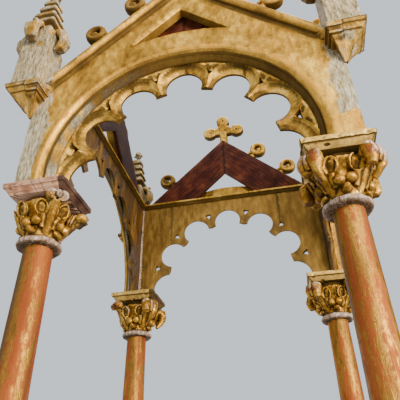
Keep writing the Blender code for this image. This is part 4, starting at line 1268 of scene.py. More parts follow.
def makeRafters(index, side):
    # Two mitred boards that close the gable on the inside
    s = wallSizes
    low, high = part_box(f"gable_rafter_{side}_left")
    thick = min(high[0] - low[0], high[1] - low[1])
    foot = s["top"] + gap
    under = gableApex - s["rafterWidth"] / math.cos(rakeAngle)
    middle = gap / 2
    sine, cosine = math.sin(rakeAngle), math.cos(rakeAngle)
    outline = [
        (middle, rakeHeight(middle)), ((gableApex - foot) / slope, foot), ((under - foot) / slope, foot),
        (middle, under - middle * slope),
    ]

    def inner(points, rim):
        face = innerFace + np.abs(ripple(points, 0.09, 71 + index)) * 0.0008
        return np.where(rim, face + 0.0010, face)

    def outer(points, rim):
        return np.where(rim, innerFace + thick - 0.0008, innerFace + thick)

    for hand, word in ((-1, "left"), (1, "right")):
        loop = densify([(hand * x, y) for x, y in outline], 0.005)
        grid = gridPoints((-0.34, foot), (0.34, gableApex), 0.010)
        mesh = boardMesh("rafter", [loop], [grid], (0.005,), outer, inner, wallPlace(index))
        # painted shade on the rafters of the side walls; the dark mitre line is the joint
        dark = 0.80 if side in ("left", "right") else 0.10
        spots = meshPoints(mesh)
        flat = (np.column_stack((spots, np.ones(len(spots)))) @ np.array(wallPlace(index).inverted()).T)[:, :3]
        mitre = 0.9 * band(flat[:, 0], 0.0, 0.0016)
        setLayer(mesh, "grimeAndShade", dark + 0.12 * ripple(spots, 0.06, 77 + index) + mitre)
        along = hand * flat[:, 0] * cosine - flat[:, 1] * sine + hand
        setGrain(mesh, np.column_stack((along, hand * flat[:, 0] * sine + flat[:, 1] * cosine, flat[:, 2])))
        nodes = [f"gable_rafter_{side}_{word}"]
        addPiece(f"gable_brace_{side}_{word}", mesh, stainedWood, nodes)


# (depth, height) of the moulding as shares of its size, from the foot up to the nose
stripProfile = ((0.0, 0.0), (0.30, 0.02), (0.36, 0.16), (0.50, 0.38), (0.86, 0.56), (1.0, 0.62))


def makeStrip(index, side):
    # Small moulding on the inner face: a bright fillet over a hollow
    low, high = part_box(f"cornice_strip_{side}")
    reach = max(high[0] - low[0], high[1] - low[1]) / 2
    bottom, top = low[2] - wallFoot, high[2] - wallFoot
    height, deep = top - bottom, min(high[0] - low[0], high[1] - low[1])
    back = innerFace - gap
    profile = [(back - deep * out, bottom + height * up) for out, up in stripProfile]
    profile += [(back - deep, top - 0.001), (back - deep + 0.001, top), (back, top)]
    rings = []
    for across in np.linspace(-reach, reach, 91):
        rings.append(np.array([(across, up, out) for out, up in profile]))
    points, polygons = ringLoft(rings)
    points[:, 2] += np.abs(ripple(points, 0.07, 81 + index)) * 0.0005 * (points[:, 2] < back - 0.002)
    mesh = plainMesh("strip", points, polygons, wallPlace(index))
    # painted shadow in the hollow under the fillet
    setLayer(mesh, "grimeAndShade", points[:, 1] < bottom + height * 0.58)
    fixNormals(mesh)
    addPiece(f"inner_strip_{side}", mesh, traceryGilding, [f"cornice_strip_{side}"], sharp=30.0)


finialSizes = {
    "rise": 0.068,
    "lobePlace": 0.0535,
    "lobeRadius": 0.0260,
    "neck": 0.0140,
    "edge": 0.0028,
    "bowl": 0.0050,
}


def makeFinial(index, side):
    s = finialSizes
    centre = gableApex + s["rise"]
    neck = s["neck"]
    openAngle = math.asin(neck / s["lobeRadius"])
    outline = [(neck, rakeHeight(neck) + gap), (neck, centre - neck)]
    lobes = []
    for quarter in range(3):
        direction = quarter * math.pi / 2
        lobe = (s["lobePlace"] * math.cos(direction), centre + s["lobePlace"] * math.sin(direction))
        lobes.append(lobe)
        start = direction - math.pi + openAngle
        for step in range(27):
            turn = start + (math.tau - 2 * openAngle) * step / 26
            # the lobes come to a slight point
            radius = s["lobeRadius"] * (0.95 + 0.05 * math.cos(turn - direction) ** 4)
            outline.append((lobe[0] + radius * math.cos(turn), lobe[1] + radius * math.sin(turn)))
    outline += [(-neck, centre - neck), (-neck, rakeHeight(neck) + gap), (0.0, gableApex + gap)]
    low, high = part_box(f"finial_{side}")
    thick = min(high[0] - low[0], high[1] - low[1])
    middle = (boardFace + outerFace) / 2
    loop = densify(outline, 0.003)
    grid = gridPoints((-0.085, gableApex), (0.085, centre + 0.085), 0.0032)

    def face(points, rim):
        # rounded arris, a bowl and a ring in each lobe, a boss in the middle
        edge = np.clip(loopDistance(points, loop) / 0.004, 0, 1)
        height = thick / 2 - s["edge"] * (1 - np.sqrt(np.clip(1 - (1 - edge) ** 2, 0, 1)))
        for lobe in lobes:
            away = np.hypot(points[:, 0] - lobe[0], points[:, 1] - lobe[1])
            height = height - s["bowl"] * band(away, 0.0, 0.0042) - 0.0010 * band(away, 0.012, 0.002)
        away = np.hypot(points[:, 0], points[:, 1] - centre)
        height = np.minimum(height + 0.0012 * band(away, 0.0, 0.011), thick / 2)
        return height + ripple(points, 0.02, 91 + index) * 0.0004 - 0.0004

    mesh = boardMesh(
        f"finial_{side}", [loop], [grid], (0.002,), lambda p, r: middle + face(p, r),
        lambda p, r: middle - face(p, r), wallPlace(index),
    )
    # painted shade on the cut edges of the finial
    setSoffit(mesh, wallPlace(index).to_3x3().col[2], 0.85)
    addPiece(f"cross_finial_{side}", mesh, traceryGilding, [f"finial_{side}"], sharp=50.0)


# Columns

capitalSizes = {
    "height": 0.105,
    "ring": 0.015,
    "ringRadius": 0.045,
    "bellFoot": 0.034,
    "voxel": 0.0014,
    # (radius past the neck ring's, height) and (radius past the bell's foot, height)
    "ringProfile": ((-0.0058, 0.0004), (-0.0020, 0.0026), (-0.0003, 0.0058), (-0.0003, 0.0092), (-0.0022, 0.0124),
                    (-0.0060, 0.0146)),
    "bellProfile": ((-0.0010, 0.0164), (-0.0005, 0.030), (0.002, 0.048), (0.006, 0.066), (0.012, 0.082)),
    # paths of (outwards, sideways, up, radius)
    "stalk": ((0.026, 0.0, 0.022, 0.0070), (0.0345, 0.0, 0.038, 0.0095), (0.0450, 0.0, 0.056, 0.0110),
              (0.0570, 0.0, 0.075, 0.0120), (0.0680, 0.0, 0.0880, 0.0130)),
    "tornRoot": ((0.0500, 0.0, 0.0640, 0.0072),),
    "fold": ((0.0600, 0.0080, 0.0850, 0.0085), (0.0690, 0.0110, 0.0915, 0.0112), (0.0770, 0.0126, 0.0890, 0.0138),
             (0.0800, 0.0128, 0.0780, 0.0140), (0.0785, 0.0120, 0.0665, 0.0118), (0.0760, 0.0105, 0.0570, 0.0085)),
    "curl": ((0.0690, 0.0095, 0.0480, 0.0068), (0.0610, 0.0085, 0.0410, 0.0055)),
    "brokenFold": ((0.0775, 0.0116, 0.0915, 0.0112), (0.0835, 0.0100, 0.0865, 0.0096)),
    "rib": ((0.0640, 0.0, 0.0985, 0.0070), (0.0790, 0.0, 0.0970, 0.0066), (0.0885, 0.0, 0.0860, 0.0060),
            (0.0890, 0.0, 0.0720, 0.0050), (0.0850, 0.0, 0.0610, 0.0036)),
    "tail": ((0.0430, 0.0220, 0.0600, 0.0075), (0.0370, 0.0205, 0.0480, 0.0066), (0.0320, 0.0170, 0.0340, 0.0044)),
}


def spinZ(points, angle):
    turn = np.array(((math.cos(angle), -math.sin(angle)), (math.sin(angle), math.cos(angle))))
    return [(*(turn @ np.array(p[:2])), *p[2:]) for p in points]


def cornerLeaf(spin, vary, broken):
    # Bracket from the foot of the bell to the corner, with a rib and two folds that curl over it
    c = capitalSizes
    paths = [spinZ(c["stalk"], spin)]
    for hand in (-1, 1):
        fold, fat = c["fold"], [1.0, 1.0, vary[0], vary[3], 1.0, 1.0, 1.0, 1.0]
        if broken:
            # broken off short, the leaf reaches out without curling down
            fold, fat[3] = fold[:2] + c["brokenFold"], 1.0
        elif vary[4 if hand > 0 else 5] > 1.0:
            fold = fold + c["curl"]
        fold = [(x, hand * y, z, radius * more) for (x, y, z, radius), more in zip(fold, fat)]
        paths.append(spinZ(fold, spin + 0.03 * (vary[2] - 1)))
    paths.append(spinZ(c["rib"][: 3 if broken else 5], spin))
    parts = [tubeMesh(paths, 12)]
    # scalloped side of the leaf where it leaves the bell
    turn = Matrix.Rotation(spin, 3, "Z")
    for hand in (-1, 1):
        spot = turn @ Vector((0.0520, hand * 0.0095, 0.0660))
        parts.append(eggMesh(spot, (0.0080, 0.0040, 0.0130), turn @ Matrix.Rotation(0.65, 3, "Y")))
    return parts


def faceCarving(quarter, vary, brokenEar):
    # Centre of a face: two curled ears on tails, two berries and a lens under them
    face = Matrix.Rotation(quarter * math.pi / 2, 3, "Z")
    lift = (vary[0] - 1) * 0.03
    parts = []
    for hand in (-1, 1):
        tilt = face @ Matrix.Rotation(hand * 0.34, 3, "Z") @ Matrix.Rotation(hand * 0.18, 3, "X")
        tilt = tilt @ Matrix.Rotation(0.36, 3, "Y")
        middle = face @ Vector((0.0480, hand * 0.0195, 0.0715 + lift))
        parts.append(eggMesh(middle, (0.0045, 0.0120, 0.0155 * vary[3]), tilt))
        # the rim of the ear is open below, or partly broken away
        first = math.radians(95 if (quarter, hand) == brokenEar else -55)
        loop = []
        for step in range(25):
            angle = first + (math.radians(235) - first) * step / 24
            angle = angle if hand > 0 else math.pi - angle
            spot = tilt @ Vector((0.0058, 0.0118 * math.cos(angle), 0.0158 * math.sin(angle) * vary[3]))
            loop.append((*(middle + spot), 0.0024 * (1.0 + 0.25 * math.sin(angle * 2 + vary[1] * 9))))
        parts.append(tubeMesh([loop], 8))
        tail = [(*(face @ Vector((x, hand * y, z))), radius) for x, y, z, radius in capitalSizes["tail"]]
        parts.append(tubeMesh([tail]))
        berry = face @ Vector((0.0435, hand * 0.0102, 0.0450 + hand * 0.0014))
        parts.append(eggMesh(berry, (0.0102, 0.0098, 0.0100 * vary[1])))
    parts.append(eggMesh(face @ Vector((0.0372, 0.0, 0.0280)), (0.0080, 0.0172, 0.0072)))
    return parts


def capitalShape(seed, lostLeaf, shortLeaves, brokenEar):
    c = capitalSizes
    draw = np.random.default_rng(seed)
    top = c["height"]
    # thin turned ring, plain flaring bell and a recess under the abacus
    profile = [(0.030, 0.0)] + [(c["ringRadius"] + out, up) for out, up in c["ringProfile"]]
    profile += [(c["bellFoot"] + out, up) for out, up in c["bellProfile"]]
    profile += [(0.0500, 0.0905), (0.0500, 0.0925), (0.0440, 0.0950), (0.0430, top - 0.0005)]
    parts = [plainMesh("bell", *roundLoft(profile, 72, 0.003))]
    for quarter in range(4):
        spin = math.pi / 4 + quarter * math.pi / 2
        vary = draw.uniform(0.93, 1.07, 6)
        if quarter == lostLeaf:
            # only the torn root of the leaf is left
            parts.append(tubeMesh([spinZ(c["stalk"][:3] + c["tornRoot"], spin)], 12))
        else:
            parts += cornerLeaf(spin, vary, quarter in shortLeaves)
    for quarter in range(4):
        parts += faceCarving(quarter, draw.uniform(0.92, 1.08, 4), brokenEar)
    mesh = carved("capital", joined("capital", parts), c["voxel"], 2)
    points = wobble(meshPoints(mesh), 0.0007, 0.024, seed)
    points = wobble(points, 0.00030, 0.009, seed + 40)
    points[:, 2] = np.clip(points[:, 2], 0.0, top)
    mesh.vertices.foreach_set("co", points.ravel())
    mesh.update()
    return mesh


def standAt(mesh, low, high):
    # Sets a mesh made round the upright axis on the foot of its CAD box
    mesh.transform(Matrix.Translation(((low[0] + high[0]) / 2, (low[1] + high[1]) / 2, low[2])))


capitalLosses = {"front_left": (2, (0, 3)), "back_left": (-1, (2,))}  # lost leaf, leaves broken short


def makeCapital(number, corner):
    low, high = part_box(f"capital_{corner}")
    lost, short = capitalLosses.get(corner, (-1, ()))
    mesh = capitalShape(101 + number, lost, short, (3, 1) if corner == "front_right" else None)
    points = meshPoints(mesh)
    height = points[:, 2]
    ring = smooth(-height, -0.0165, -0.0145)
    away = np.hypot(points[:, 0], points[:, 1])
    # the curled heads are rubbed down to bole and gesso in patches
    knobs = smooth(away, 0.070, 0.088) * smooth(height, 0.05, 0.08)
    rubbed = ripple(points, 0.05, 105 + number)
    turn = np.arctan2(points[:, 1], points[:, 0])
    near = band(turn, -math.pi / 4, 0.30) * ("front" in corner)
    setLayer(mesh, "bare", ring * 0.60 + knobs * (0.30 + 0.22 * rubbed + 0.42 * near) + 0.05)
    setLayer(mesh, "worn", knobs * (0.30 - 0.5 * rubbed) * (0.35 if corner == "front_left" else 1.0))
    # painted shade in the recess under the abacus and on the inward leaf of the front left capital; the ear bowls are
    # brown with dirt and painted shade, the feet of the leaves brown
    fold = (turn + math.pi / 4) % (math.pi / 2) - math.pi / 4
    bowl = band(np.abs(fold), 0.42, 0.13) * np.exp(-((height - 0.0715) / 0.0095) ** 2) * (away < 0.0575)
    recess = smooth(height, 0.0925, 0.097) * smooth(-away, -0.056, -0.050)
    leaves = 0.10 * ripple(points, 0.03, 109 + number)
    inwardShade = 0.40 * band(turn, math.pi / 4, 0.40) * (away > 0.052) * (corner == "front_left")
    setLayer(mesh, "grimeAndShade", 0.16 + leaves + 0.45 * bowl + 0.80 * recess + 0.10 * ring + inwardShade)
    standAt(mesh, low, high)
    addPiece(f"carved_capital_{corner}", mesh, carvingGilding, [f"capital_{corner}"], sharp=60.0)


# Angles round a shaft: two rubbed strips and the dark one, grey with dirt and painted shade
shaftWear = {"front_left": ((0.15, -1.2), -2.15), "front_right": ((-2.35, -0.75), 3.0)}
hiddenShaftWear = ((-1.9, -0.4), 2.8)


def makeShaft(number, corner):
    low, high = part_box(f"column_shaft_{corner}")
    radius = (high[0] - low[0]) / 2
    height = high[2] - low[2]
    profile = [(0.0, 0.0)]
    for step in range(41):
        # the upper two thirds taper with a slight swelling
        share = step / 40
        upper = max(0.0, (share - 1 / 3) * 1.5)
        profile.append((radius * (1 - 0.123 * upper**1.4), height * share))
    profile.append((0.0, height))
    points, polygons = roundLoft(profile, 108, 0.010)
    # the turner's slight flats and dents
    inside = 1 - np.abs(ripple(points * np.array((1.0, 1.0, 0.3)), 0.06, 121 + number)) * 0.014
    points[:, :2] *= inside[:, None]
    mesh = plainMesh("shaft", points, polygons)
    # red bole shows where the hands have rubbed, and one side is grey with dirt and painted shade, turned from the key
    # light
    turn = np.arctan2(points[:, 1], points[:, 0])
    rubbed, soiledShadedTurn = shaftWear.get(corner, hiddenShaftWear)
    worn = sum(band((turn - place + math.pi) % math.tau, math.pi, 0.34) for place in rubbed)
    soiledAndShaded = band((turn - soiledShadedTurn + math.pi) % math.tau, math.pi, 0.42)
    streak = ripple(points * np.array((1.0, 1.0, 0.12)), 0.035, 125 + number)
    # narrow streaks where cloths have run up and down
    fine = ripple(points * np.array((1.0, 1.0, 0.05)), 0.010, 127 + number)
    setLayer(mesh, "worn", worn * (0.26 + 0.22 * streak) + 0.05 * (1 + streak) + 0.13 * fine)
    setLayer(mesh, "grimeAndShade", 0.15 + soiledAndShaded * (0.58 + 0.2 * streak) + 0.08 * streak - 0.17 * fine)
    standAt(mesh, low, high)
    nodes = [f"column_shaft_{corner}"]
    addPiece(f"turned_shaft_{corner}", mesh, columnGilding, nodes, sharp=50.0, wear=False)


abacusSizes = {
    "foot": 0.82,  # half width of the foot as a share of the top's
    "chip": 0.0030,
    "sawLines": ((-0.008, 0.56), (0.0107, 0.50)),  # place and lean
    "hole": ((-0.0205, 0.004, 0.0068), (0.0070, 0.0090, 0.0030)),  # middle, from the face, and radii
}


def makeAbacus(number, corner):
    s = abacusSizes
    low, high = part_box(f"abacus_{corner}")
    half, height = (high[0] - low[0]) / 2, high[2] - low[2]
    profile = [
        (half * s["foot"], 0.0), (half * (s["foot"] + 0.008), 0.0006), (half - 0.0040, height * 0.50),
        (half - 0.0030, height * 0.535), (half - 0.0004, height * 0.56), (half, height * 0.60),
        (half, height - 0.0012), (half - 0.0012, height),
    ]
    points, polygons = squareLoft(profile, 100, 0.0016, 0.0016)
    # chipped edges
    chips = np.clip(np.abs(ripple(points, 0.020, 131 + number)) - 0.55, 0.0, 1.0) * s["chip"]
    edge = np.maximum(np.abs(points[:, 0]), np.abs(points[:, 1])) > half - 0.006
    worn = edge | (points[:, 2] < 0.003)
    points[:, :2] *= (1 - (chips * worn / half))[:, None]
    points[:, 2] += (chips * (points[:, 2] < 0.002)) * 1.4
    points[:, 2] -= chips * (points[:, 2] > height - 0.0005) * 0.4
    grimeAndShade = 0.10 + 0.10 * ripple(points, 0.03, 135 + number)
    front = points[:, 1] < -half * 0.80
    if corner in ("front_left", "back_left"):
        # the side turned to the opening is much darker
        grimeAndShade = grimeAndShade + 0.80 * (points[:, 0] > half * 0.80) * (points[:, 2] < height * 0.97)
    if corner == "front_left":
        # saw lines left across the bare face
        for place, lean in s["sawLines"]:
            line = band(points[:, 0] + (points[:, 2] - height) * lean, place, 0.0008) * front
            points[:, 1] += 0.0013 * line
            grimeAndShade = grimeAndShade + 0.7 * line
    mesh = plainMesh("abacus", points, polygons)
    setLayer(mesh, "grimeAndShade", grimeAndShade)
    setGrain(mesh, points)
    if corner == "front_right":
        (across, deep, up), radii = s["hole"]
        mesh = cutAway(mesh, eggMesh((across, deep - half, up), radii), "abacus")
    standAt(mesh, low, high)
    finish, slot = (bareWood, "bare_wood") if corner == "front_left" else (abacusGilding, "gilding")
    addPiece(f"moulded_abacus_{corner}", mesh, finish, [f"abacus_{corner}"], sharp=32.0)


baseSizes = {
    "plinth": 0.028,
    "foot": 0.0325,  # radius of the shaft's foot
    "lowRoll": (0.0445, 0.0095, 0.0105, 0.0095, -1.3, 1.5, 9),  # centre, radii, first and last angle, points
    "highRoll": (0.0395, 0.0415, 0.0052, 0.0060, -1.2, 1.4, 7),
    "hollow": ((0.0425, 0.0215), (0.0400, 0.0255), (0.0405, 0.0300), (0.0435, 0.0335)),
    "spur": ((0.050, 0.010, 0.0060), (0.062, 0.006, 0.0055), (0.073, 0.001, 0.0035)),
    "voxel": 0.0017,
}


def baseRoll(roll):
    # One roundel of the base as (radius, height over the plinth)
    middle, rise, wide, tall, first, last, count = roll
    return [(middle + wide * math.cos(a), rise + tall * math.sin(a)) for a in np.linspace(first, last, count)]


def makeBase(number, corner):
    s = baseSizes
    low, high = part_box(f"column_base_{corner}")
    half, height = (high[0] - low[0]) / 2, high[2] - low[2]
    plinth, foot = s["plinth"], s["foot"]
    profile = [(0.0, 0.0), (half, 0.0), (half, plinth - 0.002), (half - 0.002, plinth), (0.0, plinth)]
    points, polygons = squareLoft(profile, 24, 0.002, 0.005)
    parts = [plainMesh("plinth", wobble(points, 0.0004, 0.05, 141 + number), polygons)]
    turned = baseRoll(s["lowRoll"]) + list(s["hollow"]) + baseRoll(s["highRoll"])
    rings = [(0.0, plinth - 0.004), (0.052, plinth - 0.004)]
    rings += [(radius, plinth + up) for radius, up in turned]
    rings += [(foot + 0.0050, plinth + 0.0500), (foot + 0.0046, height), (0.0, height)]
    parts.append(plainMesh("rings", *roundLoft(rings, 64, 0.004)))
    for quarter in range(4):
        spur = [(out, 0.0, plinth + up, radius) for out, up, radius in s["spur"]]
        parts.append(tubeMesh([spinZ(spur, math.pi / 4 + quarter * math.pi / 2)]))
    mesh = carved("base", joined("base", parts), s["voxel"], 1)
    points = meshPoints(mesh)
    points[:, 2] = np.clip(points[:, 2], 0.0, height)
    mesh.vertices.foreach_set("co", points.ravel())
    standAt(mesh, low, high)
    addPiece(f"moulded_base_{corner}", mesh, carvingGilding, [f"column_base_{corner}"], sharp=50.0)


# Corbels and pinnacles

def makeCorbel(number, corner):
    low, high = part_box(f"corbel_{corner}")
    x, y = corners[corner]
    half, deep = 0.042, high[2] - low[2]
    fillet = 0.013
    profile = [
        (0.0035, -deep), (0.0080, -deep * 0.86), (0.0160, -deep * 0.66), (0.0250, -deep * 0.46),
        (0.0290, -fillet - 0.0160), (0.0300, -fillet - 0.0125), (0.0345, -fillet - 0.0115), (0.0352, -fillet - 0.0060),
        (0.0385, -fillet - 0.0010), (half - 0.0005, -fillet), (half, -fillet + 0.002), (half, -0.001),
        (half - 0.001, 0.0),
    ]
    points, polygons = squareLoft(profile, 28, 0.0012, 0.0025)
    # each face of the pyramid is hollowed between its arrises
    size = np.maximum(np.maximum(np.abs(points[:, 0]), np.abs(points[:, 1])), 1e-6)
    minor = np.minimum(np.abs(points[:, 0]), np.abs(points[:, 1])) / size
    scoop = smooth(-points[:, 2], fillet + 0.014, fillet + 0.022) * (1 - minor**2) * 0.22
    points[:, :2] *= (1 - scoop)[:, None]
    lean = 0.0093 / deep
    points[:, 0] += x * lean * points[:, 2]
    points[:, 1] += y * lean * points[:, 2]
    points = wobble(points, 0.0004, 0.02, 151 + number)
    points[:, 2] = np.clip(points[:, 2], -deep, 0.0)
    mesh = plainMesh("corbel", points, polygons, Matrix.Translation((x * pinnaclePlace, y * pinnaclePlace, high[2])))
    # the wall's corner stands inside it
    face = outerFace + gap
    outer = keepBeyond(mesh, (x * face, 0, 0), (x, 0, 0), "corbel")
    rest = keepBeyond(mesh, (x * face, 0, 0), (-x, 0, 0), "corbel")
    mesh = joined("corbel", [outer, keepBeyond(rest, (0, y * face, 0), (0, y, 0), "corbel")])
    setLayer(mesh, "bare", 0.35 + 0.2 * ripple(meshPoints(mesh), 0.03, 161 + number))
    nodes = [f"corbel_{corner}"]
    addPiece(f"hanging_corbel_{corner}", mesh, pinnacleGesso, nodes, sharp=35.0)


pinnacleSizes = {
    "foot": 0.267,
    "block": 0.436,
    "spireFoot": 0.498,
    "spireTop": 0.632,
    "top": 0.672,
    "tiers": 4,
    "spireHalf": 0.0360,
    "topHalf": 0.0125,
    "voxel": 0.0018,
    # paths of (outwards, sideways, up, radius)
    "leaf": ((-0.012, 0.0, 0.014, 0.0036), (-0.004, 0.0, 0.009, 0.0050), (0.0015, 0.0, 0.003, 0.0050),
             (0.0010, 0.0, -0.003, 0.0034)),
    "gablet": ((0.026, 0.006, 0.478, 0.0075), (0.046, 0.010, 0.470, 0.0105), (0.0585, 0.010, 0.452, 0.0110),
               (0.0600, 0.0085, 0.434, 0.0105), (0.0530, 0.006, 0.417, 0.0090), (0.040, 0.003, 0.407, 0.0060)),
}


def tierTree():
    # Small hooked leaves on the corners of every tier of a spire
    tree, given = newRule("leaves on spire tiers", (
        ("Object", "Leaf"), ("Int", "Tiers"), ("Float", "Foot"), ("Float", "Tier Height"),
        ("Float", "Foot Radius"), ("Float", "Top Radius"), ("Material", "Finish"),
    ))
    divide = {"operation": "DIVIDE"}
    start = addNode(tree, "ShaderNodeCombineXYZ", None, {"Z": given["Foot"]})
    rise = addNode(tree, "ShaderNodeCombineXYZ", None, {"Z": given["Tier Height"]})
    levels = {"Count": given["Tiers"], "Start Location": start, "Offset": rise}
    levels = addNode(tree, "GeometryNodeMeshLine", {"mode": "OFFSET"}, levels)
    number = addNode(tree, "GeometryNodeInputIndex")
    last = addNode(tree, "ShaderNodeMath", {"operation": "SUBTRACT"}, {0: given["Tiers"], 1: 1.0})
    share = addNode(tree, "ShaderNodeMath", divide, {0: number, 1: last})
    radius = {0: share, 2: given["Foot Radius"], 3: given["Top Radius"]}
    radius = addNode(tree, "ShaderNodeMix", {"data_type": "FLOAT"}, radius)
    square = addNode(tree, "GeometryNodeMeshCircle", {"fill_type": "NONE"}, {"Vertices": 4, "Radius": 1.0})
    # the ring of four starts on an arris
    square = {"Geometry": square, "Rotation": (0.0, 0.0, math.pi / 4)}
    square = addNode(tree, "GeometryNodeTransform", None, square)
    rings = {"Points": levels, "Instance": square, "Scale": radius}
    rings = addNode(tree, "GeometryNodeInstanceOnPoints", None, rings)
    rings = addNode(tree, "GeometryNodeRealizeInstances", None, {"Geometry": rings})
    spot = addNode(tree, "GeometryNodeInputPosition")
    flat = {0: spot, 1: (1.0, 1.0, 0.0)}
    outwards = addNode(tree, "ShaderNodeVectorMath", {"operation": "MULTIPLY"}, flat)
    axes = {"axis": "X", "pivot_axis": "Z"}
    turn = addNode(tree, "FunctionNodeAlignRotationToVector", axes, {"Vector": outwards})
    size = addNode(tree, "ShaderNodeVectorMath", {"operation": "LENGTH"}, {0: outwards}, out=1)
    size = addNode(tree, "ShaderNodeMath", divide, {0: size, 1: given["Foot Radius"]})
    size = addNode(tree, "ShaderNodeMath", {"operation": "POWER"}, {0: size, 1: 0.7})
    finishRule(tree, rings, given["Leaf"], given["Finish"], turn, size)
    return tree


def spireProfile():
    # (half side, height) from the block's collar up over the tiers
    p = pinnacleSizes
    tier = (p["spireTop"] - p["spireFoot"]) / p["tiers"]
    flare = p["spireHalf"] - p["topHalf"]
    spire = [
        (0.0, p["block"]), (pinnacleHalf - 0.004, p["block"]), (pinnacleHalf + 0.001, p["block"] + 0.006),
        (pinnacleHalf + 0.0025, p["block"] + 0.030), (pinnacleHalf - 0.004, p["block"] + 0.044),
        (0.020, p["spireFoot"] - 0.004),
    ]
    for index in range(p["tiers"]):
        share = 1 - index / p["tiers"]
        low = p["spireFoot"] + tier * index
        width = p["topHalf"] + flare * share**0.8
        after = p["topHalf"] * 0.55 + flare * (share - 1 / p["tiers"]) ** 0.8 * 0.86
        spire += [
            (width * 0.92, low + 0.002), (width, low + tier * 0.22), (width * 0.86, low + tier * 0.60),
            (after, low + tier * 0.96),
        ]
    return spire + [(0.0068, p["spireTop"] + 0.003), (0.0078, p["spireTop"] + 0.010), (0.0, p["spireTop"] + 0.012)]


def crownShape():
    # Everything over the block: tiers with their leaves, the bud, and the curled gablets
    p = pinnacleSizes
    leaf = newObject("tier_leaf", tubeMesh([p["leaf"]], 8))
    leaves = nodeMesh("tier_leaves", tierTree(), {
        "Leaf": leaf, "Tiers": p["tiers"], "Foot": p["spireFoot"] + 0.006,
        "Tier Height": (p["spireTop"] - p["spireFoot"]) / p["tiers"],
        "Foot Radius": p["spireHalf"] * 1.16, "Top Radius": p["topHalf"] * 1.30, "Finish": pinnacleGesso,
    })
    bpy.data.objects.remove(leaf, do_unlink=True)
    parts = [plainMesh("spire", *squareLoft(spireProfile(), 12, 0.003, 0.004)), leaves]
    budMiddle = (p["spireTop"] + 0.006 + p["top"]) / 2
    parts.append(eggMesh((0.0, 0.0, budMiddle), (0.0145, 0.0145, p["top"] - budMiddle)))
    turns = [Matrix.Rotation(quarter * math.pi / 2, 3, "Z") for quarter in range(4)]
    for turn in turns:
        parts.append(eggMesh(turn @ Vector((0.0125, 0.0, budMiddle - 0.004)), (0.0065, 0.0065, 0.0060)))
    for quarter, turn in enumerate(turns):
        gablet = []
        for hand in (-1, 0, 1):
            path = [(out, hand * wide, up, radius) for out, wide, up, radius in p["gablet"]]
            gablet.append(spinZ(path, quarter * math.pi / 2))
        parts.append(tubeMesh(gablet))
        parts.append(eggMesh(turn @ Vector((0.0500, 0.0, 0.4790)), (0.0085, 0.0120, 0.0065)))
    return carved("crown", joined("crown", parts), p["voxel"], 1)


def makePinnacles():
    p = pinnacleSizes
    tier = (p["spireTop"] - p["spireFoot"]) / p["tiers"]
    crown = crownShape()
    foot, blockTop = p["foot"] + gap, p["block"] + 0.004
    block = [(0.0, foot), (pinnacleHalf, foot), (pinnacleHalf, blockTop), (0.0, blockTop)]
    for number, corner in enumerate(corners):
        low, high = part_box(f"pinnacle_{corner}")
        points, polygons = squareLoft(block, 20, 0.0014, 0.008)
        shaft = plainMesh("shaft", wobble(points, 0.0004, 0.06, 171 + number), polygons)
        top = crown.copy()
        spots = wobble(meshPoints(crown), 0.0009, 0.030, 181 + number)
        spots[:, 2] = np.clip(spots[:, 2], 0.0, high[2] - wallFoot)
        top.vertices.foreach_set("co", spots.ravel())
        setLayer(top, "bare", 0.52 + 0.2 * ripple(spots, 0.02, 187 + number))
        # painted shade in the groove under each tier
        phase = ((spots[:, 2] - p["spireFoot"]) / tier + 0.5) % 1.0 - 0.5
        onSpire = (spots[:, 2] > p["spireFoot"] - 0.006) & (spots[:, 2] < p["spireTop"] + 0.006)
        setLayer(top, "grimeAndShade", 0.06 + 0.85 * band(phase, 0.0, 0.11) * onSpire)
        setLayer(shaft, "bare", 0.85 + 0.2 * ripple(meshPoints(shaft), 0.05, 191 + number))
        mesh = joined("pinnacle", [shaft, top])
        mesh.transform(Matrix.Rotation(number * math.pi / 2, 4, "Z"))
        mesh.transform(Matrix.Translation(((low[0] + high[0]) / 2, (low[1] + high[1]) / 2, wallFoot)))
        nodes = [f"pinnacle_{corner}"]
        addPiece(f"corner_pinnacle_{corner}", mesh, pinnacleGesso, nodes, sharp=60.0)
        makeCorbel(number, corner)


# Pedestal

def mouldedBlock(name, node, profile, material, slot, seed, perSide=60):
    low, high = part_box(node)
    points, polygons = squareLoft(profile, perSide, 0.003, 0.008)
    points = wobble(points, 0.0006, 0.20, seed)
    points[:, 0] = np.clip(points[:, 0], low[0], high[0])
    points[:, 1] = np.clip(points[:, 1], low[1], high[1])
    points[:, 2] = np.clip(points[:, 2], low[2], high[2])
    mesh = plainMesh(name, points, polygons)
    bare = 0.25 * ripple(points, 0.30, seed + 5) + (0.55 if slot == "worn_gesso" else 0.10)
    setLayer(mesh, "bare", bare[: len(mesh.vertices)])
    addPiece(name, mesh, material, [node], sharp=28.0)


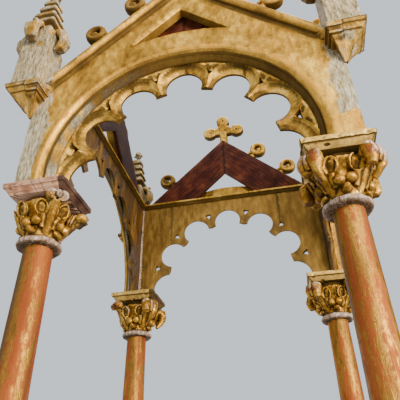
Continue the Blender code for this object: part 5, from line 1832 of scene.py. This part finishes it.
def makePedestal():
    low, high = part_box("pedestal_plinth")
    half, top = high[0], high[2]
    mouldedBlock("moulded_plinth", "pedestal_plinth", [
        (0.0, 0.0), (half, 0.0), (half, top - 0.034), (half - 0.003, top - 0.030), (half - 0.010, top - 0.028),
        (half - 0.017, top - 0.022), (half - 0.020, top - 0.014), (half - 0.026, top - 0.010),
        (half - 0.030, top - 0.008),
        (half - 0.030, top), (0.0, top),
    ], boardGilding, "gilt_board", 201)
    low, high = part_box("pedestal_cornice")
    half, foot, top = high[0], low[2], high[2]
    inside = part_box("pedestal_body")[1][0]
    mouldedBlock("moulded_cornice", "pedestal_cornice", [
        (0.0, foot), (inside + 0.010, foot), (inside + 0.010, foot + 0.010), (inside + 0.014, foot + 0.014),
        (inside + 0.016, foot + 0.022), (inside + 0.022, foot + 0.030), (inside + 0.034, foot + 0.036),
        (inside + 0.046, foot + 0.040), (half - 0.006, foot + 0.044), (half - 0.003, foot + 0.052),
        (half, foot + 0.055),
        (half, top - 0.002), (half - 0.002, top), (0.0, top),
    ], carvingGilding, "gilding", 211)
    low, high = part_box("altar_slab")
    half, foot, top = high[0], low[2], high[2]
    mouldedBlock("altar_table", "altar_slab", [
        (0.0, foot), (half - 0.014, foot), (half - 0.010, foot + 0.004), (half - 0.003, foot + 0.010),
        (half, foot + 0.015),
        (half, top - 0.005), (half - 0.0015, top - 0.0015), (half - 0.005, top), (0.0, top),
    ], pinnacleGesso, "worn_gesso", 221)
    makePedestalBody()


def makePedestalBody():
    low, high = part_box("pedestal_body")
    half, height, foot = high[0], high[2] - low[2], low[2]
    sill, depth = 0.075, 0.016
    opening = cuspedOpening({
        "rise": 0.215, "cuspRadius": 0.165, "foilRadius": 0.245, "cuspWidth": 0.030, "foils": 3, "reach": 0.245,
        "drop": 0.0,
    }, 14)
    outline = [(x, y + sill) for x, y in opening]
    loop = densify(outline, 0.006)
    frameLoop = [(-half, 0.0), (half, 0.0), (half, height), (-half, height)]
    parts = []
    near = []
    for offset in (-0.018, -0.013, -0.008, -0.004, 0.0035, 0.008, 0.014, 0.020):
        ring = []
        count = len(loop)
        for index in range(count):
            before, after = Vector(loop[index - 1]), Vector(loop[(index + 1) % count])
            side = (after - before).normalized()
            ring.append((loop[index][0] - side.y * offset, loop[index][1] + side.x * offset))
        near += ring
    grid = gridPoints((-half, 0.0), (half, height), 0.022)
    flatLoop = densify(frameLoop, 0.015)

    def face(points, rim):
        inside = insideLoops(points, [loop])
        edge = loopDistance(points, loop)
        signed = np.where(inside, edge, -edge)
        sunk = -depth * smooth(signed, -0.0005, 0.010)
        rib = -0.0035 * band(signed, -0.012, 0.004)
        return half - 0.0002 + sunk + rib - np.abs(ripple(points, 0.25, 231)) * 0.0006 - np.where(rim, 0.0012, 0.0)

    for index in range(4):
        points, faces = cutBoard([flatLoop], [loop, near, grid], (0.001, 0.0028, 0.012))
        rim = (np.abs(np.abs(points[:, 0]) - half) < 1e-5) | (points[:, 1] < 1e-5) | (points[:, 1] > height - 1e-5)
        out = face(points, rim)
        corner = np.abs(np.abs(points[:, 0]) - half) < 1e-5
        across = np.where(corner, np.sign(points[:, 0]) * (half - 0.0014), points[:, 0])
        out = np.where(corner, half - 0.0014, out)
        shape = np.column_stack((across, points[:, 1], out))
        turn = Matrix.Rotation(index * math.pi / 2, 4, "Z")
        stand = Matrix(((1, 0, 0, 0), (0, 0, -1, 0), (0, 1, 0, foot), (0, 0, 0, 1)))
        parts.append(plainMesh("panel", shape, [tuple(f) for f in faces], turn @ stand))
    mesh = joined("pedestal", parts)
    with editing(mesh) as shape:
        bmesh.ops.remove_doubles(shape, verts=shape.verts, dist=0.0003)
        openEdges = [edge for edge in shape.edges if edge.is_boundary]
        bmesh.ops.holes_fill(shape, edges=openEdges, sides=0)
        bmesh.ops.recalc_face_normals(shape, faces=shape.faces)
    points = meshPoints(mesh)
    setLayer(mesh, "bare", 0.12 + 0.25 * ripple(points, 0.35, 241))
    addPiece("panelled_body", mesh, boardGilding, ["pedestal_body"], sharp=35.0)


for index, side in enumerate(sides):
    makeTracery(index, side)
    makeArchBoard(index, side)
    makeRafters(index, side)
    makeStrip(index, side)
    makeFinial(index, side)
    print("wall done:", side)
bpy.data.objects.remove(crocketLeaf, do_unlink=True)
for number, corner in enumerate(corners):
    makeCapital(number, corner)
    makeShaft(number, corner)
    makeAbacus(number, corner)
    makeBase(number, corner)
print("columns done")
makePinnacles()
print("pinnacles done")
makePedestal()
print("pedestal done")


# Floor, light and camera

def makeStage():
    floorMesh = bpy.data.meshes.new("floor")
    reach = 9.0
    floorCorners = [(-reach, -reach, 0), (reach, -reach, 0), (reach, reach, 0), (-reach, reach, 0)]
    floorMesh.from_pydata(floorCorners, [], [(0, 1, 2, 3)])
    floor = newObject("floor", floorMesh)
    material, tree, shader = newSurface("pale_floor")
    shader.inputs["Base Color"].default_value = linear("#BEC0C1")
    shader.inputs["Roughness"].default_value = 0.8
    floorMesh.materials.append(material)

    world = bpy.data.worlds.new("room")
    bpy.context.scene.world = world
    world.use_nodes = True
    background = world.node_tree.nodes["Background"]
    background.inputs["Color"].default_value = linear("#C6CED4")
    background.inputs["Strength"].default_value = 1.45

    for name, spot, target, size, power, tint in (
        ("key", (2.6, -2.0, 1.7), (0.0, 0.0, 2.0), 1.5, 250.0, "#FFF4E2"),
        ("window", (0.9, -2.9, 2.9), (0.0, 0.0, 2.0), 1.2, 60.0, "#FFFAF0"),
        ("fill", (-2.6, -1.2, 1.2), (0.0, 0.0, 2.0), 2.0, 14.0, "#F2F6FF"),
        ("top", (0.2, 0.4, 4.6), (0.0, 0.0, 1.8), 2.0, 90.0, "#FFFFFF"),
        ("rear", (-1.4, 2.8, 2.2), (0.0, 0.0, 1.8), 2.0, 40.0, "#F6F8FF"),
    ):
        lamp = bpy.data.lights.new(name, "AREA")
        lamp.shape = "DISK"
        lamp.size = size
        lamp.energy = power
        lamp.color = linear(tint)[:3]
        light = bpy.data.objects.new(name, lamp)
        bpy.context.scene.collection.objects.link(light)
        light.location = spot
        light.rotation_euler = (Vector(target) - Vector(spot)).to_track_quat("-Z", "Y").to_euler()


def makeCamera():
    # Held low in front of the right half of the canopy and tilted up into it
    view = {"spot": (0.1804, -1.0242, 1.2616), "yaw": -0.20379, "pitch": 0.58932, "roll": -0.01970, "lens": 40.93}
    yaw, pitch, roll = view["yaw"], view["pitch"], view["roll"]
    ahead = Vector((math.sin(yaw) * math.cos(pitch), math.cos(yaw) * math.cos(pitch), math.sin(pitch)))
    right = Vector((math.cos(yaw), -math.sin(yaw), 0.0))
    up = right.cross(ahead)
    across = right * math.cos(roll) + up * math.sin(roll)
    upright = up * math.cos(roll) - right * math.sin(roll)
    data = bpy.data.cameras.new("camera")
    data.sensor_width = 36.0
    data.lens = view["lens"]
    camera = bpy.data.objects.new("camera", data)
    bpy.context.scene.collection.objects.link(camera)
    turn = Matrix((across, upright, -ahead)).transposed().to_4x4()
    camera.matrix_world = Matrix.Translation(view["spot"]) @ turn
    bpy.context.scene.camera = camera


makeStage()
makeCamera()
